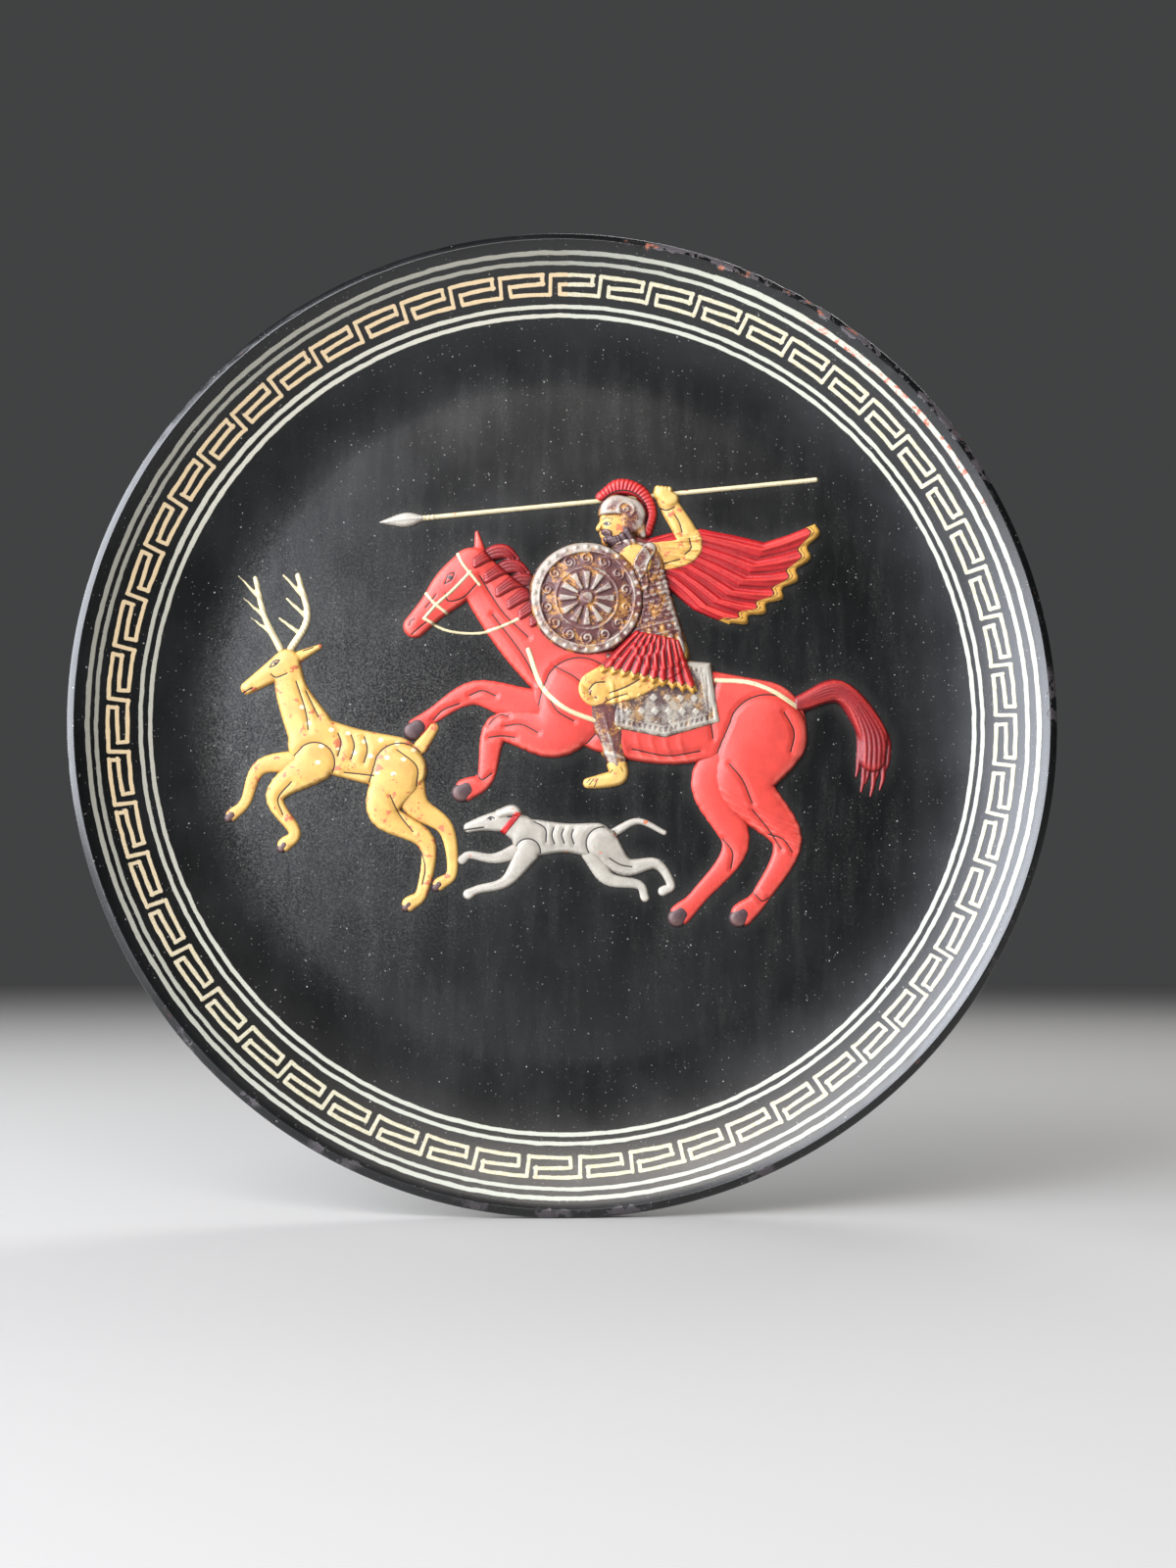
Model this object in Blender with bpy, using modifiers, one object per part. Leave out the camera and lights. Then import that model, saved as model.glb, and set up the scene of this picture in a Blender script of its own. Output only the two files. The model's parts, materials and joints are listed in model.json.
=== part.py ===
"""A round black ceramic wall plaque with a hunting scene in low relief.

The plaque is one casting: a shallow dish with a sloping border, a rounded lip,
a foot ring behind, and a mounted hunter, a stag and a hound moulded on its field.
It is shaped lying on its back, face up, and then stood up: the face looks along -Y,
+Z is up, and the origin lies on the flat face of the foot ring at its top,
between the two holes that a hanging cord goes through.
Lengths are in millimetres until the mesh is made, which is in metres.
"""
import math

import bmesh
import bpy
import numpy as np
from mathutils import Matrix

MM = 0.001

# Plate
PLATE_RADIUS = 150.0
PLATE_STEPS = 72
FIELD_RADIUS = 104.0
FIELD_HEIGHT = 12.0
WALL = 7.0
SLOPE_RADIUS = 147.6
SLOPE_RISE = 12.4
COVE_POWER = 1.75
COVE_POINTS = 6
LIP_RADIUS = 1.9
LIP_DROP = 1.7
LIP_START = math.radians(75.0)
LIP_END = math.radians(-40.0)
LIP_POINTS = 5
BACK_RIM_INSET = 3.2
BACK_FLAT_PAST_FOOT = 24.0
BACK_SHIFT = 2.5
SLOPE_WALL = 8.75

# Foot ring
FOOT_RADIUS = 76.0
FOOT_WIDTH = 7.0
FOOT_DRAFT = 0.8
HOLE_RADIUS = 1.6
HOLE_ANGLE = math.radians(9.0)
HOLE_DEPTH_IN_FOOT = 2.5
HOLE_SIDES = 12

# Relief
LARGE_HALF_WIDTH = 9.0
SMALL_HALF_WIDTH = 3.5
STEPS_BETWEEN_JOINTS = 2
TIP_REACH = 0.7
TIP_NARROWING = 0.6
ROOT_DEPTH = 0.3
FLAT_ROOT_DEPTH = 1.0
CREASE_ANGLE = math.radians(32.0)

BLACK_SLIP = (0.014, 0.015, 0.017, 1.0)
SLIP_ROUGHNESS = 0.42

# Each row of a limb is a joint: across, up, half width and lift above the field.
HORSE = {
    "far_hind_leg": [(57, -9, 11, -0.6), (46, -20, 8, -0.6), (52, -39, 4.4, -0.4), (41, -54, 2.9, -0.3),
                     (35, -60, 3.6, -0.3)],
    "far_fore_leg": [(3, 6, 8, -0.5), (-10, 3, 6.8, -0.5), (-28, 8, 4.1, -0.4), (-41, 1, 2.7, -0.3),
                     (-46, -3, 3.4, -0.3)],
    "barrel": [(4, 9, 15, 0.0), (16, 5, 16.5, 0.0), (31, 2, 16, 0.0), (46, 1, 14, 0.0), (60, -2, 14.5, 0.0)],
    "neck": [(3, 14, 13.5, 0.1), (-11, 26, 11, 0.1), (-22, 37.5, 8.4, 0.1), (-29, 46.5, 6.4, 0.1)],
    "head": [(-29.5, 47, 6.4, 0.3), (-35.5, 41, 6.2, 0.4), (-41.5, 34.5, 4.4, 0.3), (-47, 28.5, 3.6, 0.3)],
    "ear": [(-27, 52, 2.0, 0.2), (-28, 58, 0.7, 0.2)],
    "near_hind_leg": [(62, -5, 12.5, 0.6), (55, -20, 9, 0.5), (68, -37, 4.8, 0.1), (60, -54, 3.0, 0.0),
                      (54, -60, 3.8, 0.0)],
    "near_fore_leg": [(4, 7, 11.5, 0.7), (-4, -4, 8, 0.5), (-21, -3, 4.5, 0.1), (-25, -18, 2.9, 0.0),
                      (-31, -22, 3.6, 0.0)],
}
STAG = {
    "far_fore_leg": [(-76, -14, 5, -0.4), (-93, -15, 2.7, -0.3), (-98, -26, 1.9, -0.2), (-102, -30, 2.1, -0.2)],
    "far_hind_leg": [(-50, -17, 6.5, -0.5), (-46, -27, 4.2, -0.4), (-37, -34, 2.7, -0.3), (-35, -47, 1.9, -0.2),
                     (-39, -51, 2.2, -0.2)],
    "barrel": [(-77, -8, 8.5, 0.0), (-66, -11, 8.0, 0.0), (-53, -14, 8.5, 0.0)],
    "neck": [(-78, -5, 7.5, 0.1), (-84, 7, 5.2, 0.1), (-86, 16, 4.2, 0.1)],
    "head": [(-86, 17, 4.2, 0.3), (-92, 13, 3.1, 0.2), (-98, 9, 2.1, 0.2)],
    "ear": [(-82, 19, 1.8, 0.2), (-76, 22, 0.8, 0.2)],
    "near_fore_leg": [(-77, -14, 6, 0.5), (-89, -24, 3.0, 0.1), (-83, -35, 2.0, 0.0), (-86, -39, 2.3, 0.0)],
    "near_hind_leg": [(-51, -16, 8, 0.5), (-56, -29, 4.8, 0.2), (-43, -38, 2.9, 0.0), (-44, -53, 2.0, 0.0),
                      (-48, -57, 2.4, 0.0)],
    "tail": [(-45, -9, 2.4, 0.0), (-41, -3, 1.8, 0.0)],
    "near_antler": [(-85, 21, 1.3, 0.1), (-80, 31, 1.2, 0.1), (-83, 44, 1.0, 0.1)],
    "far_antler": [(-88, 21, 1.3, -0.1), (-93, 31, 1.2, -0.1), (-96, 43, 1.0, -0.1)],
}
HOUND = {
    "far_fore_leg": [(-13, -40, 3.2, -0.4), (-22, -43, 1.9, -0.3), (-29.5, -42, 1.5, -0.2), (-32, -43.5, 1.7, -0.2)],
    "far_hind_leg": [(8, -41, 4.0, -0.4), (12.5, -49, 2.5, -0.3), (22, -51, 1.7, -0.2), (24, -55, 1.6, -0.2)],
    "barrel": [(9, -37.5, 5.6, 0.0), (-0.5, -36.7, 4.6, 0.0), (-11, -36.7, 6.0, 0.0)],
    "neck": [(-14, -34, 4.5, 0.1), (-19, -31.5, 3.5, 0.1)],
    "head": [(-20, -31.5, 3.5, 0.2), (-25.5, -32.3, 2.4, 0.2), (-30, -33.6, 1.7, 0.2)],
    "near_fore_leg": [(-12, -41, 3.8, 0.2), (-18.5, -50, 2.0, 0.0), (-27, -52.5, 1.5, 0.0), (-30, -54, 1.8, 0.0)],
    "near_hind_leg": [(11, -38.5, 5.0, 0.3), (18, -45.5, 3.0, 0.1), (27.5, -44.6, 1.8, 0.0), (32, -51, 1.5, 0.0),
                      (29.5, -53, 1.7, 0.0)],
    "tail": [(14.5, -35, 1.6, 0.0), (22, -31.5, 1.2, 0.0), (30, -35, 1.0, 0.0)],
}
RIDER = {
    "far_arm": [(23, 50, 4.8, 0.3), (38, 54, 4.0, 0.2), (31, 69, 3.1, 0.2)],
    "torso": [(28, 23, 8.6, 1.6), (25, 34, 8.2, 1.6), (20.5, 46, 10.0, 1.2)],
    "head": [(18, 54, 4.0, 0.8), (15.5, 61, 6.0, 0.9)],
    "helmet": [(18.5, 63.5, 6.2, 1.3), (15.5, 65.0, 5.4, 1.3)],
    "thigh": [(29, 20, 8.2, 2.4), (19, 13, 7.2, 2.6), (9, 9, 5.6, 2.4)],
    "shin": [(9, 8, 5.2, 2.4), (13, -3, 4.8, 2.0), (15.5, -15, 2.8, 0.6), (8, -19, 2.2, 0.0)],
    "upper_arm": [(21, 49, 5.2, 1.8), (12, 38, 4.4, 2.0)],
}

# A tine's tip, seen from its root on the beam. Each next tine stands a little steeper.
ANTLER_TINES = 3
TINE_HALF_WIDTH = 1.0
TINE_TIP_HALF_WIDTH = 0.6
TINE_TIP = (-6.4, 4.8)
TINE_STEEPER = 1.0

MANE_LOCKS = 9
MANE_TOP = (-24.0, 51.0)
MANE_FOOT = (4.0, 29.0)
MANE_HOLLOW = 5.0
MANE_LOCK = [(-3.5, -3.0, 2.2, 1.0), (4.5, 0.9, 1.9, 0.5), (9.0, -1.8, 0.8, 0.2)]

# Each row is a joint of a strand: place from the root, how far strands part across and up, half width, lift.
TAIL_ROOT = (72.0, 5.0)
TAIL_STRANDS = 3
TAIL_STRAND = [(0.0, 0.0, 0.0, 0.0, 3.2, 0.3), (12.9, 4.0, 0.0, 1.5, 3.0, 0.2),
               (22.4, -8.0, 2.4, 0.0, 3.0, 0.1), (22.4, -27.2, 4.2, 0.0, 1.4, 0.0)]

HELMET_CENTRE = (17.5, 64.0)
CREST_ARC_RADIUS = 9.0
CREST_START = math.radians(140.0)
CREST_SWEEP = math.radians(-175.0)
CREST_POINTS = 5
CREST_HALF_WIDTH = 2.7
CREST_BROW_SHARE = 0.6
CREST_FULL_AT = 0.3125
CREST_LIFT = 0.6

CLOAK_ROOT = (23.0, 52.0)
CLOAK_FOLDS = 6
CLOAK_TOP_ANGLE = math.radians(4.0)
CLOAK_FAN = math.radians(40.0)
CLOAK_LENGTH = 54.0
CLOAK_SHORTENING = 17.0
CLOAK_HEIGHT = 1.3
CLOAK_SCALLOP = 2.4
CLOAK_GATHER = 4.0
CLOAK_GATHER_HALF_WIDTH = 1.9
CLOAK_LIFT = 0.5
UPPER_WAVE = 3.6
LOWER_WAVE = 1.8
# Each row is a joint of a fold: share of its length, share of the wave it rises, half width.
CLOAK_FOLD = [(0.35, 1.0, 2.5), (0.7, -0.4, 3.2), (1.0, 0.8, 3.2)]

SKIRT_WAIST = ((21.0, 25.0), (34.0, 24.0))
SKIRT_HEM = ((12.0, 14.5), (38.0, 11.5))
SKIRT_PLEATS = 6
SKIRT_LIFT = 3.8
PLEAT_TOP_HALF_WIDTH = 1.9
PLEAT_HEM_HALF_WIDTH = 2.5

SADDLE_CLOTH = [(12, 20), (44, 17), (47, -1), (30, -6), (14, -3)]
SADDLE_CLOTH_HEIGHT = 4.4

# The shield's section: radius and height above the field, from the boss over the rim into the wall.
SHIELD_CENTRE = (6.0, 37.0)
SHIELD_STEPS = 32
SHIELD_SECTION = [(2.6, 5.2), (8.94, 4.85), (14.0, 4.0), (14.9, 4.7), (16.8, 4.4), (17.5, 3.3), (17.5, -2.0)]

SPEAR_BUTT = (78.0, 76.0)
SPEAR_TIP = (-58.0, 61.0)
SPEAR_HALF_WIDTH = 1.0
SPEAR_LIFT = 0.1
SPEAR_HEAD_LENGTH = 13.0
SPEAR_HEAD_HALF_WIDTH = 2.3
SPEAR_HEAD_WIDEST_AT = 0.6
SPEAR_HEAD_LIFT = 0.2
SPEAR_POINT_HALF_WIDTH = 0.5


def clear_scene():
    """Start from an empty scene."""
    for thing in list(bpy.data.objects):
        bpy.data.objects.remove(thing, do_unlink=True)


def new_collection(name):
    """An empty collection in the scene."""
    group = bpy.data.collections.new(name)
    bpy.context.scene.collection.children.link(group)
    return group


def slip_material():
    """Black slip, burnished to a soft sheen."""
    material = bpy.data.materials.new("black_slip")
    material.use_nodes = True
    shader = material.node_tree.nodes["Principled BSDF"]
    shader.inputs["Base Color"].default_value = BLACK_SLIP
    shader.inputs["Roughness"].default_value = SLIP_ROUGHNESS
    return material


def front_height(radius):
    """Height of the face: flat to the field's edge, then a cove that rises to the rim."""
    share = (radius - FIELD_RADIUS) / (SLOPE_RADIUS - FIELD_RADIUS)
    return FIELD_HEIGHT + SLOPE_RISE * max(share, 0.0) ** COVE_POWER


def plate_profile():
    """Section of the plate from the field's edge, over the lip and back to the foot ring's inside."""
    front_radii = np.linspace(FIELD_RADIUS, SLOPE_RADIUS, COVE_POINTS + 1)
    front = [(radius, front_height(radius)) for radius in front_radii]
    lip_centre = (PLATE_RADIUS - LIP_RADIUS, front_height(SLOPE_RADIUS) - LIP_DROP)
    lip_angles = np.linspace(LIP_START, LIP_END, LIP_POINTS)
    lip = [(lip_centre[0] + LIP_RADIUS * math.cos(angle), lip_centre[1] + LIP_RADIUS * math.sin(angle))
           for angle in lip_angles]
    back_height = FIELD_HEIGHT - WALL
    back_radii = np.linspace(PLATE_RADIUS - BACK_RIM_INSET, FOOT_RADIUS + BACK_FLAT_PAST_FOOT, COVE_POINTS)
    back = [(radius, max(front_height(radius + BACK_SHIFT) - SLOPE_WALL, back_height)) for radius in back_radii]
    outer = FOOT_RADIUS + FOOT_WIDTH / 2
    inner = FOOT_RADIUS - FOOT_WIDTH / 2
    foot = [(outer + FOOT_DRAFT, back_height), (outer, 0.0), (inner, 0.0), (inner - FOOT_DRAFT, back_height)]
    return front + lip + back + foot


def turned_object(name, profile, steps, group):
    """Turn a profile of (radius, height) points round the Z axis, and close its open ends with flat faces."""
    mesh = bpy.data.meshes.new(name)
    vertices = [(radius * MM, 0.0, height * MM) for radius, height in profile]
    mesh.from_pydata(vertices, [(i, i + 1) for i in range(len(profile) - 1)], [])
    outline = bpy.data.objects.new(name, mesh)
    group.objects.link(outline)
    screw = outline.modifiers.new("turn", "SCREW")
    screw.angle = math.tau
    screw.steps = steps
    screw.render_steps = steps
    screw.use_merge_vertices = True
    screw.merge_threshold = 0.00001
    turned = mesh_from_evaluated(outline)
    shape = bmesh.new()
    shape.from_mesh(turned)
    bmesh.ops.holes_fill(shape, edges=shape.edges, sides=0)
    shape.to_mesh(turned)
    shape.free()
    return replace_with_mesh(outline, turned, group)


def mesh_from_evaluated(source):
    """The mesh that an object's modifiers or curve settings make."""
    depsgraph = bpy.context.evaluated_depsgraph_get()
    return bpy.data.meshes.new_from_object(source.evaluated_get(depsgraph))


def replace_with_mesh(source, mesh, group):
    """Put a finished mesh in the place of the outline or curve that it came from."""
    name = source.name
    place = source.matrix_world.copy()
    bpy.data.objects.remove(source, do_unlink=True)
    made = bpy.data.objects.new(name, mesh)
    made.matrix_world = place
    group.objects.link(made)
    return made


def smooth_path(joints):
    """Points on a Catmull-Rom curve through the joints, with width and lift carried along."""
    rows = np.array(joints, dtype=float)
    padded = np.vstack([2 * rows[0] - rows[1], rows, 2 * rows[-1] - rows[-2]])
    path = []
    for i in range(1, len(rows)):
        before, start, end, after = padded[i - 1:i + 3]
        for step in range(STEPS_BETWEEN_JOINTS):
            t = step / STEPS_BETWEEN_JOINTS
            path.append(0.5 * (2 * start + (end - before) * t
                               + (2 * before - 5 * start + 4 * end - after) * t ** 2
                               + (3 * start - before - 3 * end + after) * t ** 3))
    path.append(rows[-1])
    return np.array(path)


def rounded_path(joints):
    """A smooth path with one more point at each end, so that the tube closes on a rounded tip."""
    path = smooth_path(joints)
    first, last = path[0].copy(), path[-1].copy()
    first_step = path[0, :2] - path[1, :2]
    last_step = path[-1, :2] - path[-2, :2]
    first[:2] += first_step / np.linalg.norm(first_step) * TIP_REACH * path[0, 2]
    last[:2] += last_step / np.linalg.norm(last_step) * TIP_REACH * path[-1, 2]
    first[2] *= TIP_NARROWING
    last[2] *= TIP_NARROWING
    return np.vstack([first, path, last])


def tube_corners(joints):
    """Rounder sections for wider limbs: 6 sides on a strand, 8 on a leg and 10 on a body."""
    widest = max(joint[2] for joint in joints)
    return 1 + int(widest > SMALL_HALF_WIDTH) + int(widest > LARGE_HALF_WIDTH)


def limb(name, joints, group):
    """A tube through the joints, with rounded ends, pressed flat onto the field."""
    path = rounded_path(joints)
    curve = bpy.data.curves.new(name, "CURVE")
    curve.dimensions = "3D"
    curve.bevel_depth = MM
    curve.bevel_resolution = tube_corners(joints)
    curve.use_fill_caps = True
    spline = curve.splines.new("POLY")
    spline.points.add(len(path) - 1)
    for point, (across, up, half_width, _) in zip(spline.points, path):
        point.co = (across * MM, up * MM, 0.0, 1.0)
        point.radius = half_width
    tube = bpy.data.objects.new(name, curve)
    group.objects.link(tube)
    mesh = mesh_from_evaluated(tube)
    weld(mesh)
    press_on_field(mesh, path)
    return replace_with_mesh(tube, mesh, group)


def weld(mesh):
    """Merge doubled points and turn all faces outward."""
    shape = bmesh.new()
    shape.from_mesh(mesh)
    bmesh.ops.remove_doubles(shape, verts=shape.verts, dist=0.00001)
    bmesh.ops.recalc_face_normals(shape, faces=shape.faces)
    shape.to_mesh(mesh)
    shape.free()


def press_on_field(mesh, path):
    """Press a round form flat: its new height is the square root of its old one, on the lift of its path."""
    points = np.empty(len(mesh.vertices) * 3)
    mesh.vertices.foreach_get("co", points)
    points = points.reshape(-1, 3)
    height = points[:, 2] / MM
    gaps = np.linalg.norm(points[:, None, :2] / MM - path[None, :, :2], axis=2)
    lift = path[gaps.argmin(axis=1), 3]
    pressed = np.sign(height) * np.sqrt(np.abs(height))
    points[:, 2] = (FIELD_HEIGHT - ROOT_DEPTH + lift + pressed) * MM
    mesh.vertices.foreach_set("co", points.ravel())
    mesh.update()


def figure(name, limbs, group):
    """Every limb of an animal or a person."""
    for part, joints in limbs.items():
        limb(name + "_" + part, joints, group)


def antler_tines(group):
    """Short tines on each antler's front, at even steps up its beam."""
    for name in ("near_antler", "far_antler"):
        beam = smooth_path(STAG[name])
        for i in range(ANTLER_TINES):
            across, up, _, lift = beam[1 + i]
            tip = (across + TINE_TIP[0], up + TINE_TIP[1] + i * TINE_STEEPER)
            limb(name + "_tine", [(across, up, TINE_HALF_WIDTH, lift), (*tip, TINE_TIP_HALF_WIDTH, lift)], group)


def mane(group):
    """Locks side by side down the neck's crest, each swept back."""
    for i in range(MANE_LOCKS):
        share = i / (MANE_LOCKS - 1)
        across = MANE_TOP[0] + share * (MANE_FOOT[0] - MANE_TOP[0])
        up = MANE_TOP[1] + share * (MANE_FOOT[1] - MANE_TOP[1]) - MANE_HOLLOW * math.sin(math.pi * share)
        limb("mane_lock", [(across + x, up + z, half_width, lift) for x, z, half_width, lift in MANE_LOCK], group)


def tail(group):
    """Strands that leave the croup together, arch over and hang apart."""
    for i in range(TAIL_STRANDS):
        spread = i - (TAIL_STRANDS - 1) / 2
        joints = [(TAIL_ROOT[0] + x + spread * part_across, TAIL_ROOT[1] + z + spread * part_up, half_width, lift)
                  for x, z, part_across, part_up, half_width, lift in TAIL_STRAND]
        limb("tail_strand", joints, group)


def crest(group):
    """The helmet's plume: an arc over the crown from the brow to the nape, narrower at its ends."""
    joints = []
    for i in range(CREST_POINTS):
        share = i / (CREST_POINTS - 1)
        angle = CREST_START + share * CREST_SWEEP
        swell = math.sin(math.pi / 2 * min(share / CREST_FULL_AT, 2.0))
        half_width = CREST_HALF_WIDTH * (CREST_BROW_SHARE + (1.0 - CREST_BROW_SHARE) * swell)
        joints.append((HELMET_CENTRE[0] + CREST_ARC_RADIUS * math.cos(angle),
                       HELMET_CENTRE[1] + CREST_ARC_RADIUS * math.sin(angle), half_width, CREST_LIFT))
    limb("crest", joints, group)


def cloak_fold(share):
    """Joints of one fold: share 0 is the cloak's upper edge and 1 its lower, shorter edge."""
    angle = CLOAK_TOP_ANGLE - share * CLOAK_FAN
    length = CLOAK_LENGTH - share * CLOAK_SHORTENING
    wave = UPPER_WAVE + share * (LOWER_WAVE - UPPER_WAVE)
    x, z = CLOAK_ROOT
    joints = [(x, z - CLOAK_GATHER * share, CLOAK_GATHER_HALF_WIDTH, CLOAK_LIFT)]
    for along, rise, half_width in CLOAK_FOLD:
        joints.append((x + along * length * math.cos(angle) - rise * wave * math.sin(angle),
                       z + along * length * math.sin(angle) + rise * wave * math.cos(angle),
                       half_width, CLOAK_LIFT))
    return joints


def cloak(group):
    """A sheet that fans out behind the rider's shoulders, with a scalloped hem and a fold on each scallop."""
    folds = [cloak_fold(i / (CLOAK_FOLDS - 1)) for i in range(CLOAK_FOLDS)]
    upper = [tuple(point[:2]) for point in smooth_path(folds[0])]
    lower = [tuple(point[:2]) for point in smooth_path(folds[-1])]
    hem = []
    for fold, following in zip(folds[:-1], folds[1:]):
        middle = (np.array(fold[-1][:2]) + np.array(following[-1][:2])) / 2
        inward = np.array(CLOAK_ROOT) - middle
        hem.append(tuple(middle + CLOAK_SCALLOP * inward / np.linalg.norm(inward)))
        hem.append(following[-1][:2])
    flat_piece("cloak_sheet", upper + hem[:-1] + lower[::-1], CLOAK_HEIGHT, group)
    for fold in folds:
        limb("cloak_fold", fold, group)


def skirt(group):
    """Pleats of the tunic that spread from the waist over the thigh."""
    waist, hem = np.array(SKIRT_WAIST), np.array(SKIRT_HEM)
    for i in range(SKIRT_PLEATS):
        share = i / (SKIRT_PLEATS - 1)
        top = waist[0] + share * (waist[1] - waist[0])
        foot = hem[0] + share * (hem[1] - hem[0])
        limb("skirt_pleat", [(*top, PLEAT_TOP_HALF_WIDTH, SKIRT_LIFT), (*foot, PLEAT_HEM_HALF_WIDTH, SKIRT_LIFT)],
             group)


def flat_piece(name, outline, top, group):
    """A flat outline raised to its top height, with its root inside the wall."""
    curve = bpy.data.curves.new(name, "CURVE")
    curve.dimensions = "2D"
    curve.fill_mode = "BOTH"
    curve.extrude = (top + FLAT_ROOT_DEPTH) / 2 * MM
    spline = curve.splines.new("POLY")
    spline.points.add(len(outline) - 1)
    for point, (across, up) in zip(spline.points, outline):
        point.co = (across * MM, up * MM, 0.0, 1.0)
    spline.use_cyclic_u = True
    sheet = bpy.data.objects.new(name, curve)
    sheet.location.z = (FIELD_HEIGHT + (top - FLAT_ROOT_DEPTH) / 2) * MM
    group.objects.link(sheet)
    bpy.context.view_layer.update()
    mesh = mesh_from_evaluated(sheet)
    weld(mesh)
    return replace_with_mesh(sheet, mesh, group)


def shield(group):
    """A round shield with a raised rim and a low dome, turned on its own axis."""
    raised = [(radius, FIELD_HEIGHT + height) for radius, height in SHIELD_SECTION]
    disc = turned_object("shield", raised, SHIELD_STEPS, group)
    disc.location = (SHIELD_CENTRE[0] * MM, SHIELD_CENTRE[1] * MM, 0.0)


def spear(group):
    """A long shaft with a leaf-shaped head."""
    butt = np.array(SPEAR_BUTT)
    tip = np.array(SPEAR_TIP)
    along = (tip - butt) / np.linalg.norm(tip - butt)
    neck = tip - along * SPEAR_HEAD_LENGTH
    middle = tip - along * SPEAR_HEAD_WIDEST_AT * SPEAR_HEAD_LENGTH
    limb("spear_shaft", [(*butt, SPEAR_HALF_WIDTH, SPEAR_LIFT), (*neck, SPEAR_HALF_WIDTH, SPEAR_LIFT)], group)
    limb("spear_head", [(*neck, SPEAR_HALF_WIDTH, SPEAR_HEAD_LIFT), (*middle, SPEAR_HEAD_HALF_WIDTH, SPEAR_HEAD_LIFT),
                        (*tip, SPEAR_POINT_HALF_WIDTH, SPEAR_HEAD_LIFT)], group)


def hanging_holes(group):
    """Two small holes through the foot ring, 24 mm apart near its top, where a cord goes through."""
    for side in (-1, 1):
        angle = math.pi / 2 + side * HOLE_ANGLE
        bpy.ops.mesh.primitive_cylinder_add(
            vertices=HOLE_SIDES, radius=HOLE_RADIUS * MM, depth=4 * FOOT_WIDTH * MM,
            location=(FOOT_RADIUS * math.cos(angle) * MM, FOOT_RADIUS * math.sin(angle) * MM,
                      HOLE_DEPTH_IN_FOOT * MM),
            rotation=(0.0, math.pi / 2, angle))
        drill = bpy.context.object
        drill.name = "hole_drill"
        for owner in list(drill.users_collection):
            owner.objects.unlink(drill)
        group.objects.link(drill)


def join_masses(plate, masses, drills, group):
    """Unite every mass with the plate and drill the holes, as one closed body with its creases kept sharp."""
    for name, tools, operation in (("relief", masses, "UNION"), ("holes", drills, "DIFFERENCE")):
        boolean = plate.modifiers.new(name, "BOOLEAN")
        boolean.operand_type = "COLLECTION"
        boolean.collection = tools
        boolean.operation = operation
        boolean.solver = "EXACT"
    for guide in [*masses.objects, *drills.objects]:
        guide.hide_render = True
        guide.display_type = "WIRE"
    casting = replace_with_mesh(plate, mesh_from_evaluated(plate), group)
    casting.data.shade_smooth()
    casting.data.set_sharp_from_angle(angle=CREASE_ANGLE)
    return casting


def main():
    clear_scene()
    plaque = new_collection("ceramic relief wall plaque")
    masses = new_collection("relief masses")
    drills = new_collection("hole drills")
    plate = turned_object("relief_plate", plate_profile(), PLATE_STEPS, plaque)
    flat_piece("saddle_cloth", SADDLE_CLOTH, SADDLE_CLOTH_HEIGHT, masses)
    figure("stag", STAG, masses)
    antler_tines(masses)
    figure("hound", HOUND, masses)
    figure("horse", HORSE, masses)
    mane(masses)
    tail(masses)
    cloak(masses)
    figure("rider", RIDER, masses)
    crest(masses)
    skirt(masses)
    spear(masses)
    shield(masses)
    hanging_holes(drills)
    casting = join_masses(plate, masses, drills, plaque)
    casting.data.materials.clear()
    casting.data.materials.append(slip_material())
    hung = Matrix.Translation((0.0, 0.0, -FOOT_RADIUS * MM)) @ Matrix.Rotation(math.pi / 2, 4, "X")
    for thing in [casting, *masses.objects, *drills.objects]:
        thing.matrix_world = hung @ thing.matrix_world


main()
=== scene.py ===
# %% [markdown]
# # A black ceramic wall plaque with a painted relief
#
# The object is a round ceramic plate that hangs on a wall. It was cast in one piece in
# a mould: a shallow dish with a sloping border, a rounded lip and a foot ring behind.
# A mounted hunter, a stag and a hound stand out from its flat field by a few millimetres.
# The whole plate was covered with black slip, the border pattern was brushed on in cream,
# and the figures were painted in reds, ochre, cream and a rubbed bronze finish.
#
# The construction model gives the place and size of everything. This lesson makes the
# fine surface: the turned plate first, then the carved figures, then the paint.

# %% Tools and the fixed frame
import functools
import json
import math
from types import SimpleNamespace

import bmesh
import bpy
import numpy as np
from mathutils import Matrix, Vector

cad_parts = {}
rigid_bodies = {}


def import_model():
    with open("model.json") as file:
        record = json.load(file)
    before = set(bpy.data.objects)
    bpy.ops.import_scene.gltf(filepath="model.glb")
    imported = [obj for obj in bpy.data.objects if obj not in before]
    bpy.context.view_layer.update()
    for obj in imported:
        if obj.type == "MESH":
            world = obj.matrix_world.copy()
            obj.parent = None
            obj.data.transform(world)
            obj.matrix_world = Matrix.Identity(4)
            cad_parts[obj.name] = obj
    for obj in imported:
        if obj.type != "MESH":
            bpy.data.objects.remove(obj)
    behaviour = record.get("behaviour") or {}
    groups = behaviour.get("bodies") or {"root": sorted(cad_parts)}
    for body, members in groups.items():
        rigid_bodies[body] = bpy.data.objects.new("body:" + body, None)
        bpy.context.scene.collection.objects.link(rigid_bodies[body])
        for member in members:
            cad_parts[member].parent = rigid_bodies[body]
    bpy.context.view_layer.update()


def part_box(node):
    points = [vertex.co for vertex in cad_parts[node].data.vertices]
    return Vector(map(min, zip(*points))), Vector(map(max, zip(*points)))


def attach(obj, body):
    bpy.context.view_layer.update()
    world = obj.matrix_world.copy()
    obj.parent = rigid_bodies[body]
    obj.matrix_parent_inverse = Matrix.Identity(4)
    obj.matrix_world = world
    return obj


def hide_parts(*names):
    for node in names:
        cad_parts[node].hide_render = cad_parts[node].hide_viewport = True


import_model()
low_corner, high_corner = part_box("relief_plate")
MM = 0.001
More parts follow.
